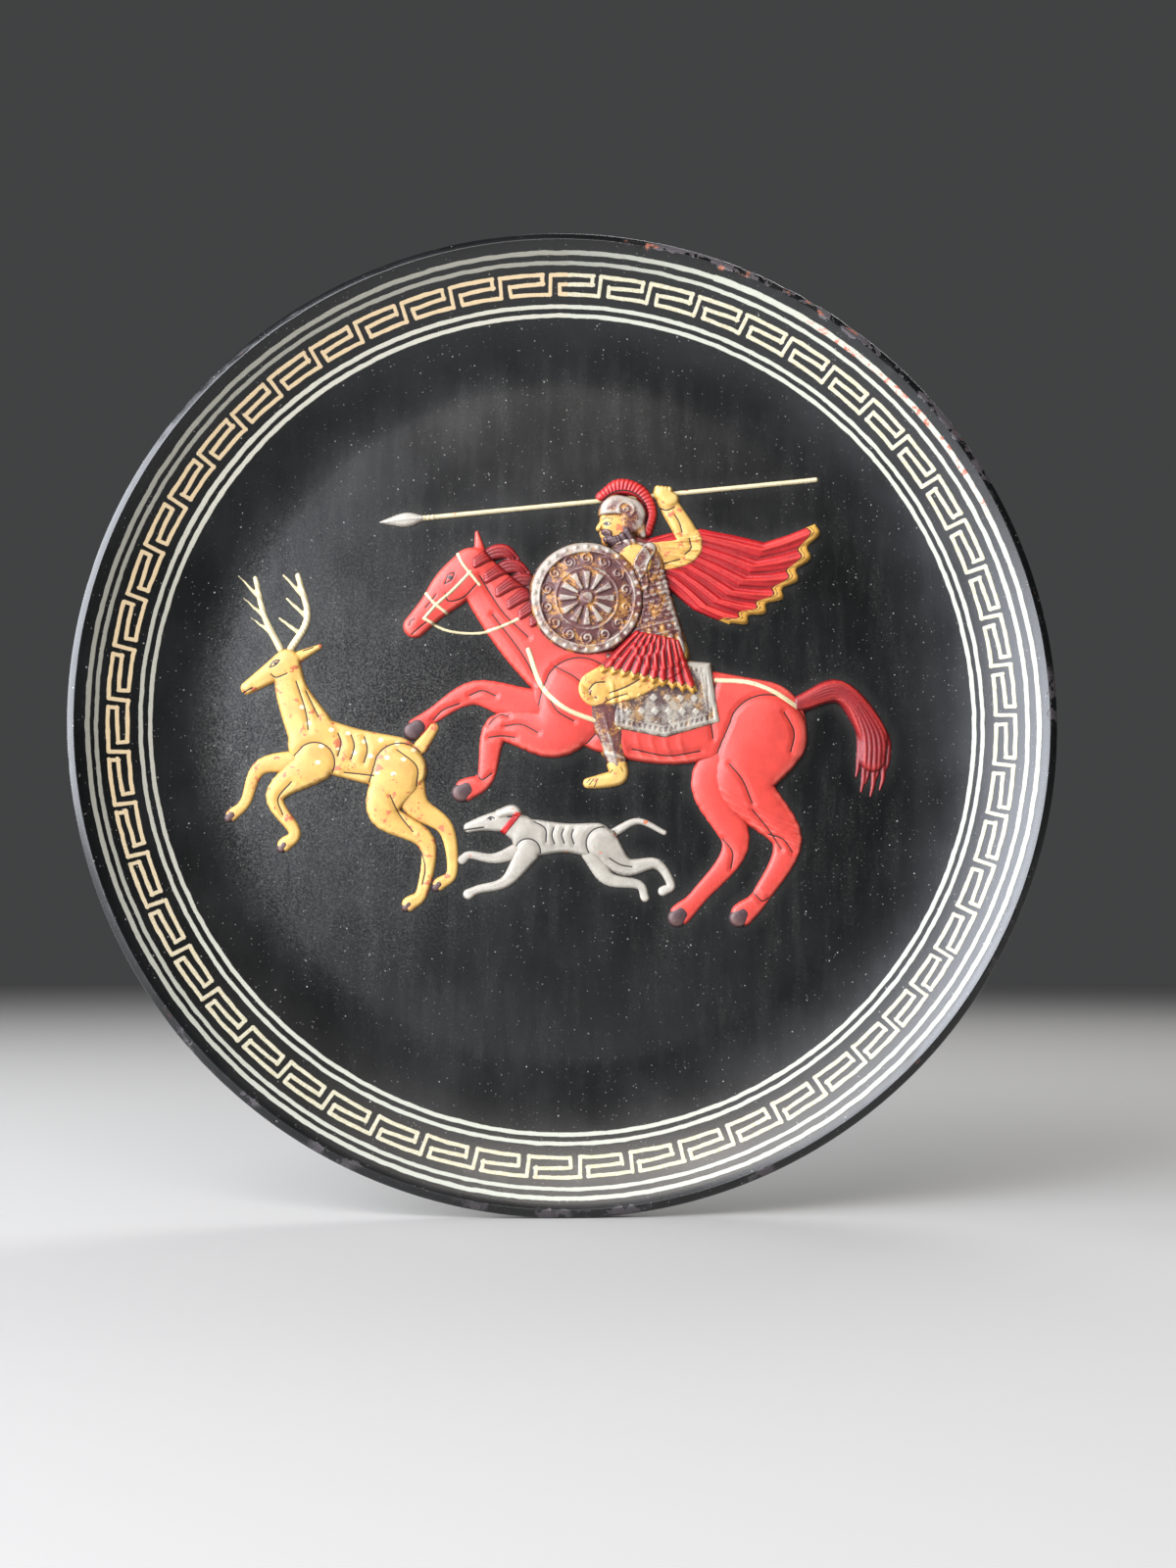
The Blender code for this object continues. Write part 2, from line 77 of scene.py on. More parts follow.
PLATE_RADIUS = (high_corner[0] - low_corner[0]) / 2 / MM
CENTRE_UP = (high_corner[2] + low_corner[2]) / 2 / MM
print(f"plate radius {PLATE_RADIUS:.1f} mm, its centre {-CENTRE_UP:.1f} mm below the wall mount")

# %% [markdown]
# ## The stage
#
# The camera is a little below the middle of the plate and slightly to its left, so the far
# rim closes up and the near rim opens. It is placed by the angle and distance that give the
# same ellipses for the border, and turned so that the plate sits where it does in the
# picture. A large window on the left is the main light, a tall one and a low ceiling give
# the soft reflections, and a lamp behind parts the rim from the background.

# %% Camera
PICTURE_WIDTH = 1200
PICTURE_HEIGHT = 1600
FOCAL_PIXELS = 1892.0
SENSOR = 36.0
CAMERA_DISTANCE = 0.560
CAMERA_TURN = math.radians(-2.17)
CAMERA_RISE = math.radians(-7.02)
PLATE_PIXEL = (580.0, 728.7)


def camera_axes(turn, rise):
    """Right, up and back directions of a level camera that looks at the plate."""
    back = Vector((math.sin(turn) * math.cos(rise), -math.cos(turn) * math.cos(rise), math.sin(rise)))
    right = Vector((0, 0, 1)).cross(back).normalized()
    return right, back.cross(right), back


def aimed_camera(name, target, pixel):
    """A camera that shows the target at a pixel of the picture, by turning and not by shifting."""
    data = bpy.data.cameras.new(name)
    data.sensor_width = SENSOR
    data.lens = FOCAL_PIXELS * SENSOR / PICTURE_HEIGHT
    data.clip_start = 0.01
    made = bpy.data.objects.new(name, data)
    bpy.context.scene.collection.objects.link(made)
    right, up, back = camera_axes(CAMERA_TURN, CAMERA_RISE)
    made.location = target + CAMERA_DISTANCE * back
    aside = (PICTURE_WIDTH / 2 - pixel[0]) / FOCAL_PIXELS * CAMERA_DISTANCE
    down = (PICTURE_HEIGHT / 2 - pixel[1]) / FOCAL_PIXELS * CAMERA_DISTANCE
    aim = target + aside * right - down * up
    made.rotation_euler = (aim - made.location).to_track_quat("-Z", "Y").to_euler()
    return made


rim_centre = Vector((0.0, low_corner[1], CENTRE_UP * MM))
camera = aimed_camera("camera", rim_centre, PLATE_PIXEL)
bpy.context.scene.camera = camera
print(f"camera {camera.location.length:.3f} m from the mount, lens {camera.data.lens:.1f} mm")

# %% Floor, background and lights
FLOOR_HALF = 3.0
FLOOR_ROUGHNESS = 0.8
SKY_STRENGTH = 0.07
LIGHTS = [
    ("tall_window", (-0.622, -1.170, 0.590), (0.41, 1.41), 22.0, "#eef3ff"),
    ("low_ceiling", (-0.126, -1.196, 0.811), (0.72, 0.20), 6.4, "#fff8f0"),
    ("side_window", (-1.21, -0.46, 0.42), (1.9, 1.20), 76.0, "#f2f6ff"),
    ("back_light", (0.50, 0.90, 1.20), (0.90, 0.90), 12.0, "#ffffff"),
]


def linear(hex_colour):
    """Turn an sRGB hex colour into the linear values that shaders and lights take."""
    channels = [int(hex_colour[i:i + 2], 16) / 255 for i in (1, 3, 5)]
    return tuple(c / 12.92 if c <= 0.04045 else ((c + 0.055) / 1.055) ** 2.4 for c in channels) + (1.0,)


def area_light(name, place, size, power, colour):
    """A soft window: a rectangle that faces the plate."""
    data = bpy.data.lights.new(name, "AREA")
    data.shape = "RECTANGLE"
    data.size, data.size_y = size
    data.energy = power
    data.color = linear(colour)[:3]
    made = bpy.data.objects.new(name, data)
    bpy.context.scene.collection.objects.link(made)
    made.location = rim_centre + Vector(place)
    made.rotation_euler = (-Vector(place)).to_track_quat("-Z", "Y").to_euler()
    return made


floor_mesh = bpy.data.meshes.new("floor")
corners = [(x * FLOOR_HALF, y * FLOOR_HALF, low_corner[2]) for x, y in ((-1, -1), (1, -1), (1, 1), (-1, 1))]
floor_mesh.from_pydata(corners, [], [(0, 1, 2, 3)])
floor = bpy.data.objects.new("floor", floor_mesh)
bpy.context.scene.collection.objects.link(floor)
floor_paint = bpy.data.materials.new("pale floor")
floor_paint.use_nodes = True
floor_shader = floor_paint.node_tree.nodes["Principled BSDF"]
floor_shader.inputs["Base Color"].default_value = linear("#a9a7a3")
floor_shader.inputs["Roughness"].default_value = FLOOR_ROUGHNESS
floor_mesh.materials.append(floor_paint)
for light in LIGHTS:
    area_light(*light)
world = bpy.data.worlds.new("pale room")
world.use_nodes = True
sky = world.node_tree.nodes["Background"]
sky.inputs["Color"].default_value = linear("#e2e4e6")
sky.inputs["Strength"].default_value = SKY_STRENGTH
bpy.context.scene.world = world
bpy.context.scene.view_settings.view_transform = "Standard"

# %% [markdown]
# ## The turned plate
#
# A plate like this is shaped on a plaster mould, so its section is the same all the way
# round. The section is written as a list of points in millimetres (radius, height above
# the wall) and carried round the axis: one whole array of points, radius times the sine
# and cosine of the angle. A fine grid keeps the lip round and lets small chips be real dents.

# %% Section of the plate
FIELD_RADIUS = 104.0
FIELD_HEIGHT = 12.0
WALL = 7.0
SLOPE_RADIUS = 147.6
SLOPE_RISE = 12.4
COVE_POWER = 1.75
LIP_WIDTH = 2.5
LIP_CORNER = 1.0
BEVEL_DROP = 0.75
BEVEL_SWELL = (0.0, 0.06, 0.09, 0.09, 0.06)
BEVEL_SIDE = (0.5, 0.87)
FOOT_RADIUS = 76.0
FOOT_WIDTH = 7.0
FOOT_DRAFT = 0.8
FOOT_ROUND = 0.5
TURN_STEPS = 720
FIELD_RINGS = 36
SLOPE_RINGS = 26
BACK_RINGS = 16
MIDDLE_RINGS = 8
LIP_ARC = (60.0, -40.0, 11)
BACK_EDGE = 3.2
BACK_SHIFT = 2.5
FOOT_APRON = 24.0
MIDDLE_APRON = 12.0


def front_height(radius):
    """Flat out to the field's edge, then a cove: the rise times a power of the share of the slope."""
    share = np.clip((radius - FIELD_RADIUS) / (SLOPE_RADIUS - FIELD_RADIUS), 0.0, None)
    return FIELD_HEIGHT + SLOPE_RISE * share ** COVE_POWER


def plate_section():
    """Section points from the middle of the face, over the lip and the foot ring to the middle behind."""
    field = np.linspace(0.0, FIELD_RADIUS, FIELD_RINGS)[1:-1]
    slope = np.linspace(FIELD_RADIUS, PLATE_RADIUS - LIP_WIDTH - 0.2, SLOPE_RINGS)
    front_radius = np.concatenate([field, slope])
    front = np.column_stack([front_radius, front_height(front_radius)])
    turn = np.radians(np.linspace(*LIP_ARC))
    crest = (PLATE_RADIUS - LIP_WIDTH, front_height(SLOPE_RADIUS))
    corner = (PLATE_RADIUS - LIP_CORNER, crest[1] - BEVEL_DROP - LIP_CORNER)
    rounded = np.column_stack([corner[0] + LIP_CORNER * np.cos(turn), corner[1] + LIP_CORNER * np.sin(turn)])
    bevel = np.linspace(crest, rounded[0], len(BEVEL_SWELL) + 1)[:-1] + np.outer(BEVEL_SWELL, BEVEL_SIDE)
    lip = np.vstack([bevel, rounded])
    back_radius = np.linspace(PLATE_RADIUS - BACK_EDGE, FOOT_RADIUS + FOOT_APRON, BACK_RINGS)
    floor_level = FIELD_HEIGHT - WALL
    back_height = np.maximum(front_height(back_radius + BACK_SHIFT) - 1.25 * WALL, floor_level)
    back = np.column_stack([back_radius, back_height])
    half_foot = [(FOOT_DRAFT + 0.6, floor_level), (FOOT_DRAFT, floor_level - FOOT_ROUND), (0.1, FOOT_ROUND),
                 (-0.4, 0.0)]
    outer, inner = FOOT_RADIUS + FOOT_WIDTH / 2, FOOT_RADIUS - FOOT_WIDTH / 2
    foot = np.array([(outer + aside, height) for aside, height in half_foot]
                    + [(inner - aside, height) for aside, height in half_foot[::-1]])
    middle_radius = np.linspace(inner - MIDDLE_APRON, 0.0, MIDDLE_RINGS)[:-1]
    middle = np.column_stack([middle_radius, np.full(MIDDLE_RINGS - 1, floor_level)])
    return np.vstack([front, lip, back, foot, middle]), len(front) + len(lip) // 2


section, front_points = plate_section()
print(f"{len(section)} points in the section, lip at {section[:, 1].max():.1f} mm from the wall")

# %% [markdown]
# ### Chips on the lip
#
# The lip of the real plate is knocked and rubbed, most of all at its upper right. Each chip
# is a shallow dent: a bell curve along the lip's length times a bell curve across the
# section. The same number colours the bared clay later, so the paint follows the dent.

# %% Chips
CHIP_SEED = 7
CHIP_ZONES = [(8.0, 62.0, 34, 1.0), (64.0, 150.0, 12, 0.6), (215.0, 345.0, 26, 0.5)]
LIP_CREST = 148.2
LIP_RADIUS = 1.9


def chip_depths(angle, radius, on_front):
    """Dent depth in mm at each point of the lip: a sum of bell curves at seeded places."""
    random = np.random.default_rng(CHIP_SEED)
    depth = np.zeros(np.broadcast(angle, radius).shape)
    for start, end, count, strength in CHIP_ZONES:
        for _ in range(count):
            place = random.uniform(start, end)
            length = random.uniform(0.5, 2.4) * (1.0 if random.random() < 0.8 else 2.2)
            across = LIP_CREST + random.normal(0.3, 0.7)
            width = random.uniform(0.35, 0.9)
            along = (np.degrees(angle) - place) / 360.0 * math.tau * PLATE_RADIUS
            bell = np.exp(-0.5 * (along / length) ** 4 - 0.5 * ((radius - across) / width) ** 2)
            depth = np.maximum(depth, strength * random.uniform(0.12, 0.4) * bell)
    return depth * on_front


# %% Turn the section into a mesh


def place_points(across, up, height):
    """Plate coordinates in mm (across, up, height from the wall) as points in metres."""
    return np.column_stack([across.ravel(), -height.ravel(), up.ravel() + CENTRE_UP]) * MM


def mesh_from_arrays(name, points, faces):
    """Put whole arrays of points and quads into a new mesh."""
    mesh = bpy.data.meshes.new(name)
    mesh.vertices.add(len(points))
    mesh.vertices.foreach_set("co", points.ravel().astype(np.float32))
    mesh.loops.add(faces.size)
    mesh.loops.foreach_set("vertex_index", faces.ravel().astype(np.int32))
    mesh.polygons.add(len(faces))
    mesh.polygons.foreach_set("loop_start", np.arange(0, faces.size, faces.shape[1], dtype=np.int32))
    mesh.polygons.foreach_set("use_smooth", np.ones(len(faces), dtype=bool))
    mesh.update(calc_edges=True)
    mesh.validate()
    return mesh


def store(mesh, name, values):
    """Keep one number for each point, for the paint to read."""
    attribute = mesh.attributes.new(name, "FLOAT", "POINT")
    attribute.data.foreach_set("value", values.ravel().astype(np.float32))


def turned_plate():
    """Radius times sine and cosine of the clockwise angle, with the chips taken off the lip."""
    columns = len(section)
    column = np.arange(columns)
    angle = np.linspace(0.0, math.tau, TURN_STEPS, endpoint=False)[:, None]
    radius, height = (np.broadcast_to(section[:, k], (TURN_STEPS, columns)) for k in (0, 1))
    chip = chip_depths(angle, radius, column < front_points + 4)
    tilt = np.clip((radius - LIP_CREST) / LIP_RADIUS, -1.0, 1.0)
    radius = radius - chip * np.clip(tilt, 0.0, 1.0)
    height = height - chip * (1.0 - 0.5 * np.abs(tilt))
    points = place_points(radius * np.sin(angle), radius * np.cos(angle), height)
    poles = place_points(np.zeros(2), np.zeros(2), np.array([FIELD_HEIGHT, FIELD_HEIGHT - WALL]))
    index = np.arange(TURN_STEPS * columns).reshape(TURN_STEPS, columns)
    following = np.roll(index, -1, axis=0)
    faces = np.stack([index[:, :-1], index[:, 1:], following[:, 1:], following[:, :-1]], axis=-1)
    mesh = mesh_from_arrays("plate", np.vstack([points, poles]), faces.reshape(-1, 4))
    side = np.broadcast_to(column < front_points, radius.shape).astype(float)
    store(mesh, "front", np.append(side.ravel(), [1.0, 0.0]))
    store(mesh, "chip", np.append(chip.ravel(), [0.0, 0.0]))
    close_poles(mesh, index, len(points))
    return mesh


def close_poles(mesh, index, first_pole):
    """Close the two open middles with fans of triangles that meet in one point."""
    shape = bmesh.new()
    shape.from_mesh(mesh)
    shape.verts.ensure_lookup_table()
    for ring, pole in ((index[:, 0], first_pole), (index[:, -1], first_pole + 1)):
        for start, end in zip(ring, np.roll(ring, -1)):
            face = shape.faces.new((shape.verts[pole], shape.verts[start], shape.verts[end]))
            face.smooth = True
    bmesh.ops.recalc_face_normals(shape, faces=shape.faces)
    shape.to_mesh(mesh)
    shape.free()


def add_piece(name, mesh, material=None):
    """Put a finished mesh in the scene as a piece that rides with the plaque."""
    piece = bpy.data.objects.new(name, mesh)
    bpy.context.scene.collection.objects.link(piece)
    if material:
        mesh.materials.append(material)
    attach(piece, "root")
    return piece


plate = add_piece("plate", turned_plate())
print(f"plate has {len(plate.data.polygons)} faces")

# %% [markdown]
# ### Hanging holes
#
# Two small holes go through the foot ring at its top, for the cord that the plate hangs
# on. They are drilled with two thin cylinders and a Boolean, which is how the potter
# makes them too: with a drill, in the leather-hard clay.

# %% Drill the foot ring
HOLE_RADIUS = 1.6
HOLE_ANGLE = math.radians(9.0)
HOLE_HEIGHT = 2.5
HOLE_SEGMENTS = 24


def drill_holes(piece):
    """Cut both holes and keep the cut mesh."""
    drills = bpy.data.collections.new("drills")
    for side in (-1, 1):
        angle = side * HOLE_ANGLE
        shape = bmesh.new()
        bmesh.ops.create_cone(shape, cap_ends=True, segments=HOLE_SEGMENTS, radius1=HOLE_RADIUS * MM,
                              radius2=HOLE_RADIUS * MM, depth=3 * FOOT_WIDTH * MM)
        drill_mesh = bpy.data.meshes.new("drill")
        shape.to_mesh(drill_mesh)
        shape.free()
        drill = bpy.data.objects.new("drill", drill_mesh)
        across, up = FOOT_RADIUS * math.sin(angle), FOOT_RADIUS * math.cos(angle) + CENTRE_UP
        place = Matrix.Translation((across * MM, -HOLE_HEIGHT * MM, up * MM))
        drill.matrix_world = place @ Matrix.Rotation(angle, 4, "Y")
        drills.objects.link(drill)
    cut = piece.modifiers.new("holes", "BOOLEAN")
    cut.operand_type = "COLLECTION"
    cut.collection = drills
    cut.operation = "DIFFERENCE"
    cut.solver = "EXACT"
    bpy.context.view_layer.update()
    drilled = bpy.data.meshes.new_from_object(piece.evaluated_get(bpy.context.evaluated_depsgraph_get()))
    piece.modifiers.clear()
    piece.data = drilled
    for drill in list(drills.objects):
        bpy.data.objects.remove(drill, do_unlink=True)
    bpy.data.collections.remove(drills)


drill_holes(plate)
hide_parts("relief_plate")
print(f"drilled plate has {len(plate.data.polygons)} faces")

# %% [markdown]
# ## Carving on one grid
#
# A relief is a height map: every point of the field has one height. All the figures are
# carved on one fine grid, in millimetres across and up from the plate's centre. A limb is a
# chain of round forms: its joints have a place, a half width and a lift, a smooth curve
# runs through them, and the form is pressed flat by taking the square root of its height.
# Limbs of one body are melted into each other by a smooth maximum, as wet clay is.

# %% The grid and the round forms
GRID_STEP = 0.25
columns_mm = np.arange(-108.0, 106.0, GRID_STEP)
rows_mm = np.arange(-67.0, 82.0, GRID_STEP)
across, up = np.meshgrid(columns_mm, rows_mm)
ground = front_height(np.hypot(across, up))
FAR_BELOW = -6.0
SKIRT = 0.7
EDGE_SOFTNESS = 0.28
ROOT_DEPTH = 0.3
MARGIN = 3.0
NOTHING = np.full(across.shape, FAR_BELOW)
OUTSIDE = np.full(across.shape, -MARGIN)


def smooth_path(joints, steps=7):
    """Catmull-Rom curve: a cubic through every joint, with slopes taken from its neighbours."""
    rows = np.array(joints, dtype=float)
    padded = np.vstack([2 * rows[0] - rows[1], rows, 2 * rows[-1] - rows[-2]])
    t = np.linspace(0.0, 1.0, steps, endpoint=False)[:, None]
    stretches = [0.5 * (2 * b + (c - a) * t + (2 * a - 5 * b + 4 * c - d) * t ** 2
                        + (3 * b - a - 3 * c + d) * t ** 3)
                 for a, b, c, d in zip(padded[:-3], padded[1:-2], padded[2:-1], padded[3:])]
    return np.vstack([*stretches, rows[-1:]])


def window(points, margin):
    """The part of the grid within a margin of some points."""
    left, bottom = points.min(axis=0) - margin
    right, top = points.max(axis=0) + margin
    first_row, last_row = np.searchsorted(rows_mm, (bottom, top))
    first_column, last_column = np.searchsorted(columns_mm, (left, right))
    return slice(first_row, last_row), slice(first_column, last_column)


def to_stretch(x, z, start, end):
    """Distance to a straight stretch, and the share of the way along it of the nearest point."""
    step = end - start
    share = np.clip(((x - start[0]) * step[0] + (z - start[1]) * step[1]) / (step @ step), 0.0, 1.0)
    return np.hypot(x - start[0] - share * step[0], z - start[1] - share * step[1]), share


def limb(joints, steps=7):
    """Height and reach of a limb over the grid.

    Reach is the half width less the distance from the middle line, so it is positive inside.
    Height is the lift plus the square root of the round form's own height, eased at the edge,
    and outside it falls away steeply.
    """
    height, reach = NOTHING.copy(), OUTSIDE.copy()
    path = smooth_path(joints, steps)
    for start, end in zip(path[:-1], path[1:]):
        part = window(np.array([start[:2], end[:2]]), max(start[2], end[2]) + MARGIN)
        distance, share = to_stretch(across[part], up[part], start[:2], end[:2])
        half_width, lift = (start[k] + share * (end[k] - start[k]) for k in (2, 3))
        inside = half_width - distance
        round_height = np.sqrt(np.maximum(half_width ** 2 - distance ** 2, 0.0))
        eased = 1.0 - np.exp(-np.maximum(inside, 0.0) / EDGE_SOFTNESS)
        raised = lift - ROOT_DEPTH + np.sqrt(round_height) * eased + 2.5 * np.minimum(inside, 0.0)
        height[part] = np.maximum(height[part], raised)
        reach[part] = np.maximum(reach[part], inside)
    return height, reach


def melt(first, second, softness):
    """Smooth maximum: the larger height, plus a fillet where the two are closer than the softness."""
    closeness = np.maximum(softness - np.abs(first - second), 0.0) / softness
    return np.maximum(first, second) + closeness ** 2 * softness / 4


def over(height, reach, under, rise=0.4):
    """Lay a form on what is under it: a small rise above it, with a clean step at the edge."""
    step = under + rise * (1.0 - np.exp(-np.maximum(reach, 0.0) / 0.25)) + 3.0 * np.minimum(reach, 0.0)
    return np.maximum(height, step)


def ease(values, start, end):
    """Smooth step from 0 at start to 1 at end."""
    share = np.clip((values - start) / (end - start), 0.0, 1.0)
    return share * share * (3.0 - 2.0 * share)


def polygon_reach(corners):
    """Distance inside an outline: to its nearest edge, positive inside and negative outside."""
    outline = np.array(corners, dtype=float)
    part = window(outline, MARGIN)
    x, z = across[part], up[part]
    nearest = np.full(x.shape, 1e6)
    crossings = np.zeros(x.shape, dtype=int)
    for start, end in zip(outline, np.roll(outline, -1, axis=0)):
        nearest = np.minimum(nearest, to_stretch(x, z, start, end)[0])
        spans = (z >= min(start[1], end[1])) & (z < max(start[1], end[1]))
        if start[1] != end[1]:
            crossings += spans & (x < start[0] + (z - start[1]) / (end[1] - start[1]) * (end[0] - start[0]))
    reach = OUTSIDE.copy()
    reach[part] = np.where(crossings % 2 == 1, nearest, -nearest)
    return reach


def bell(distance, width):
    """Bell curve: 1 in the middle, falling with the square of the distance."""
    return np.exp(-(distance / width) ** 2)


def highest(*layers):
    """The largest of several grids at every point."""
    return np.maximum.reduce(layers)


print(f"carving grid of {across.size} points, {GRID_STEP} mm apart")

# %% [markdown]
# ### The figures' measures
#
# The joints below are the design: where each limb starts, bends and ends, and how thick it
# is there. They are the same as in the construction model, so the fine surface lies on
# the solid. Order matters: what is listed first lies furthest back.

# %% Joints: across, up, half width, lift
HORSE = {
    "far_hind_leg": [(57, -9, 11, -0.6), (46, -20, 8, -0.6), (52, -39, 4.4, -0.4), (41, -54, 2.9, -0.3),
                     (35, -60, 3.6, -0.3)],
    "far_fore_leg": [(3, 6, 8, -0.5), (-10, 3, 6.8, -0.5), (-28, 8, 4.1, -0.4), (-41, 1, 2.7, -0.3),
                     (-46, -3, 3.4, -0.3)],
    "barrel": [(4, 9, 15, 0.0), (16, 5, 16.5, 0.0), (31, 2, 16, 0.0), (46, 1, 14, 0.0), (60, -2, 14.5, 0.0)],
    "neck": [(3, 14, 13.5, 0.1), (-11, 26, 11, 0.1), (-22, 37.5, 8.4, 0.1), (-29, 46.5, 6.4, 0.1)],
    "head": [(-29.5, 47, 6.4, 0.3), (-35.5, 41, 6.2, 0.4), (-41.5, 34.5, 4.4, 0.3), (-47, 28.5, 3.6, 0.3)],
    "ear": [(-27, 52, 2.0, 0.2), (-28, 58, 0.7, 0.2)],
    "near_hind_leg": [(62, -5, 12.5, 0.6), (55, -20, 9, 0.5), (68, -37, 4.8, 0.1), (60, -54, 3.0, 0.0),
                      (54, -60, 3.8, 0.0)],
    "near_fore_leg": [(4, 7, 11.5, 0.7), (-4, -4, 8, 0.5), (-21, -3, 4.5, 0.1), (-25, -18, 2.9, 0.0),
                      (-31, -22, 3.6, 0.0)],
}
STAG = {
    "far_fore_leg": [(-76, -14, 5, -0.4), (-93, -15, 2.7, -0.3), (-98, -26, 1.9, -0.2),
                     (-102, -30, 2.1, -0.2)],
    "far_hind_leg": [(-50, -17, 6.5, -0.5), (-46, -27, 4.2, -0.4), (-37, -34, 2.7, -0.3),
                     (-35, -47, 1.9, -0.2), (-39, -51, 2.2, -0.2)],
    "barrel": [(-77, -8, 8.5, 0.0), (-66, -11, 8.0, 0.0), (-53, -14, 8.5, 0.0)],
    "neck": [(-78, -5, 7.5, 0.1), (-84, 7, 5.2, 0.1), (-86, 16, 4.2, 0.1)],
    "head": [(-86, 17, 4.2, 0.3), (-92, 13, 3.1, 0.2), (-98, 9, 2.1, 0.2)],
    "ear": [(-82, 19, 1.8, 0.2), (-76, 22, 0.8, 0.2)],
    "near_fore_leg": [(-77, -14, 6, 0.5), (-89, -24, 3.0, 0.1), (-83, -35, 2.0, 0.0), (-86, -39, 2.3, 0.0)],
    "near_hind_leg": [(-51, -16, 8, 0.5), (-56, -29, 4.8, 0.2), (-43, -38, 2.9, 0.0), (-44, -53, 2.0, 0.0),
                      (-48, -57, 2.4, 0.0)],
    "tail": [(-45, -9, 2.4, 0.0), (-41, -3, 1.8, 0.0)],
}
ANTLERS = {
    "near_antler": [(-85, 21, 1.3, 0.1), (-80, 31, 1.2, 0.1), (-83, 44, 1.0, 0.1)],
    "far_antler": [(-88, 21, 1.3, -0.1), (-93, 31, 1.2, -0.1), (-96, 43, 1.0, -0.1)],
}
HOUND = {
    "far_fore_leg": [(-13, -40, 3.2, -0.4), (-22, -43, 1.9, -0.3), (-29.5, -42, 1.5, -0.2),
                     (-32, -43.5, 1.7, -0.2)],
    "far_hind_leg": [(8, -41, 4.0, -0.4), (12.5, -49, 2.5, -0.3), (22, -51, 1.7, -0.2), (24, -55, 1.6, -0.2)],
    "barrel": [(9, -37.5, 5.6, 0.0), (-0.5, -36.7, 4.6, 0.0), (-11, -36.7, 6.0, 0.0)],
    "neck": [(-14, -34, 4.5, 0.1), (-19, -31.5, 3.5, 0.1)],
    "head": [(-20, -31.5, 3.5, 0.2), (-25.5, -32.3, 2.4, 0.2), (-30, -33.6, 1.7, 0.2)],
    "near_fore_leg": [(-12, -41, 3.8, 0.2), (-18.5, -50, 2.0, 0.0), (-27, -52.5, 1.5, 0.0),
                      (-30, -54, 1.8, 0.0)],
    "near_hind_leg": [(11, -38.5, 5.0, 0.3), (18, -45.5, 3.0, 0.1), (27.5, -44.6, 1.8, 0.0),
                      (32, -51, 1.5, 0.0), (29.5, -53, 1.7, 0.0)],
    "tail": [(14.5, -35, 1.6, 0.0), (22, -31.5, 1.2, 0.0), (30, -35, 1.0, 0.0)],
}
RIDER = {
    "far_arm": [(23, 50, 4.8, 0.3), (38, 54, 4.0, 0.2), (31, 69, 3.1, 0.2)],
    "torso": [(28, 23, 8.6, 1.6), (25, 34, 8.2, 1.6), (20.5, 46, 10.0, 1.2)],
    "helmet": [(18.5, 63.5, 6.2, 1.3), (15.5, 65.0, 5.4, 1.3)],
    "thigh": [(29, 20, 8.2, 2.4), (19, 13, 7.2, 2.6), (9, 9, 5.6, 2.4)],
    "upper_arm": [(21, 49, 5.2, 1.8), (12, 38, 4.4, 2.0)],
}
print(f"{sum(map(len, (HORSE, STAG, ANTLERS, HOUND, RIDER)))} limbs")

# %% [markdown]
# ### Painted lines
#
# After the colours, a fine brush drew the eyes, mouths and muscles in black, about a third
# of a millimetre wide, and the tool left a shallow groove under most of them. A line is a
# limb too, a very thin one: its reach is kept with the mesh and the paint turns it black
# where it is positive.

# %% Lines as thin limbs
INK = 0.2
GROOVE = 0.16
VALLEY = 0.34
VALLEY_REACH = 1.7


def drawn(lines, half_width=INK):
    """Reach of a set of lines, the largest of all of them at each grid point."""
    return highest(OUTSIDE, *(limb([(x, z, half_width, 0.0) for x, z in points], 5)[1] for points in lines))


def valley(ink):
    """Depth of the soft hollow that a drawn line lies in: a smooth step of the line's reach."""
    return VALLEY * ease(ink, -VALLEY_REACH, 0.1)


def groove(ink):
    """Depth of the scratch that the tool left right under a line."""
    return GROOVE * ease(ink, -0.25, 0.1)


def contour(reach, inside):
    """Reach of the line that follows a limb's edge where it crosses the body behind it."""
    return np.minimum(INK - np.abs(reach + 0.1), inside - 0.7)


def beside(axis, share, side):
    """A spot by a limb's axis: a share of the way along it, and a distance to its left."""
    start, end = np.array(axis[0][:2], dtype=float), np.array(axis[-1][:2], dtype=float)
    along = end - start
    left = np.array([-along[1], along[0]]) / np.hypot(*along)
    return tuple(start + share * along - side * left)


def on_axis(axis, lines):
    """Points of lines that are given as a share of the way along a limb and a distance beside it."""
    return [[beside(axis, *spot) for spot in line] for line in lines]


# %% [markdown]
# ### From height map to mesh
#
# A mass becomes a mesh from the grid cells that it covers, with a skirt that dips under
# the plate's surface, so its visible outline is the clean line where the two surfaces
# cross. The skirt is drawn down into the wall and closed underneath: the piece is a solid.
# With each point go its rise, its ink and its cavity, which is the height less the blurred
# height: positive on ridges that a dry brush touches, and negative in hollows, where the
# painted coats get painted shade and the bronze its dark patina.

# %% Mesh of one mass
BOTTOM_HEIGHT = FIELD_HEIGHT - 1.6
CAVITY_BLUR = 1.3
surface = np.zeros(across.shape)
masses = {}


def blurred(values, radius):
    """Gaussian blur by the Fourier transform: each wave is weakened by a bell curve of its frequency."""
    waves = np.fft.rfft2(values)
    fz = np.fft.fftfreq(values.shape[0], GRID_STEP)[:, None]
    fx = np.fft.rfftfreq(values.shape[1], GRID_STEP)[None, :]
    return np.fft.irfft2(waves * np.exp(-2 * (math.pi * radius) ** 2 * (fx ** 2 + fz ** 2)), values.shape)


def keep(name, height, ink=OUTSIDE, trim=np.zeros(across.shape)):
    """Remember a mass and raise the common surface with it."""
    global surface
    masses[name] = (np.maximum(height, -SKIRT), ink, trim)
    surface = np.maximum(surface, height)


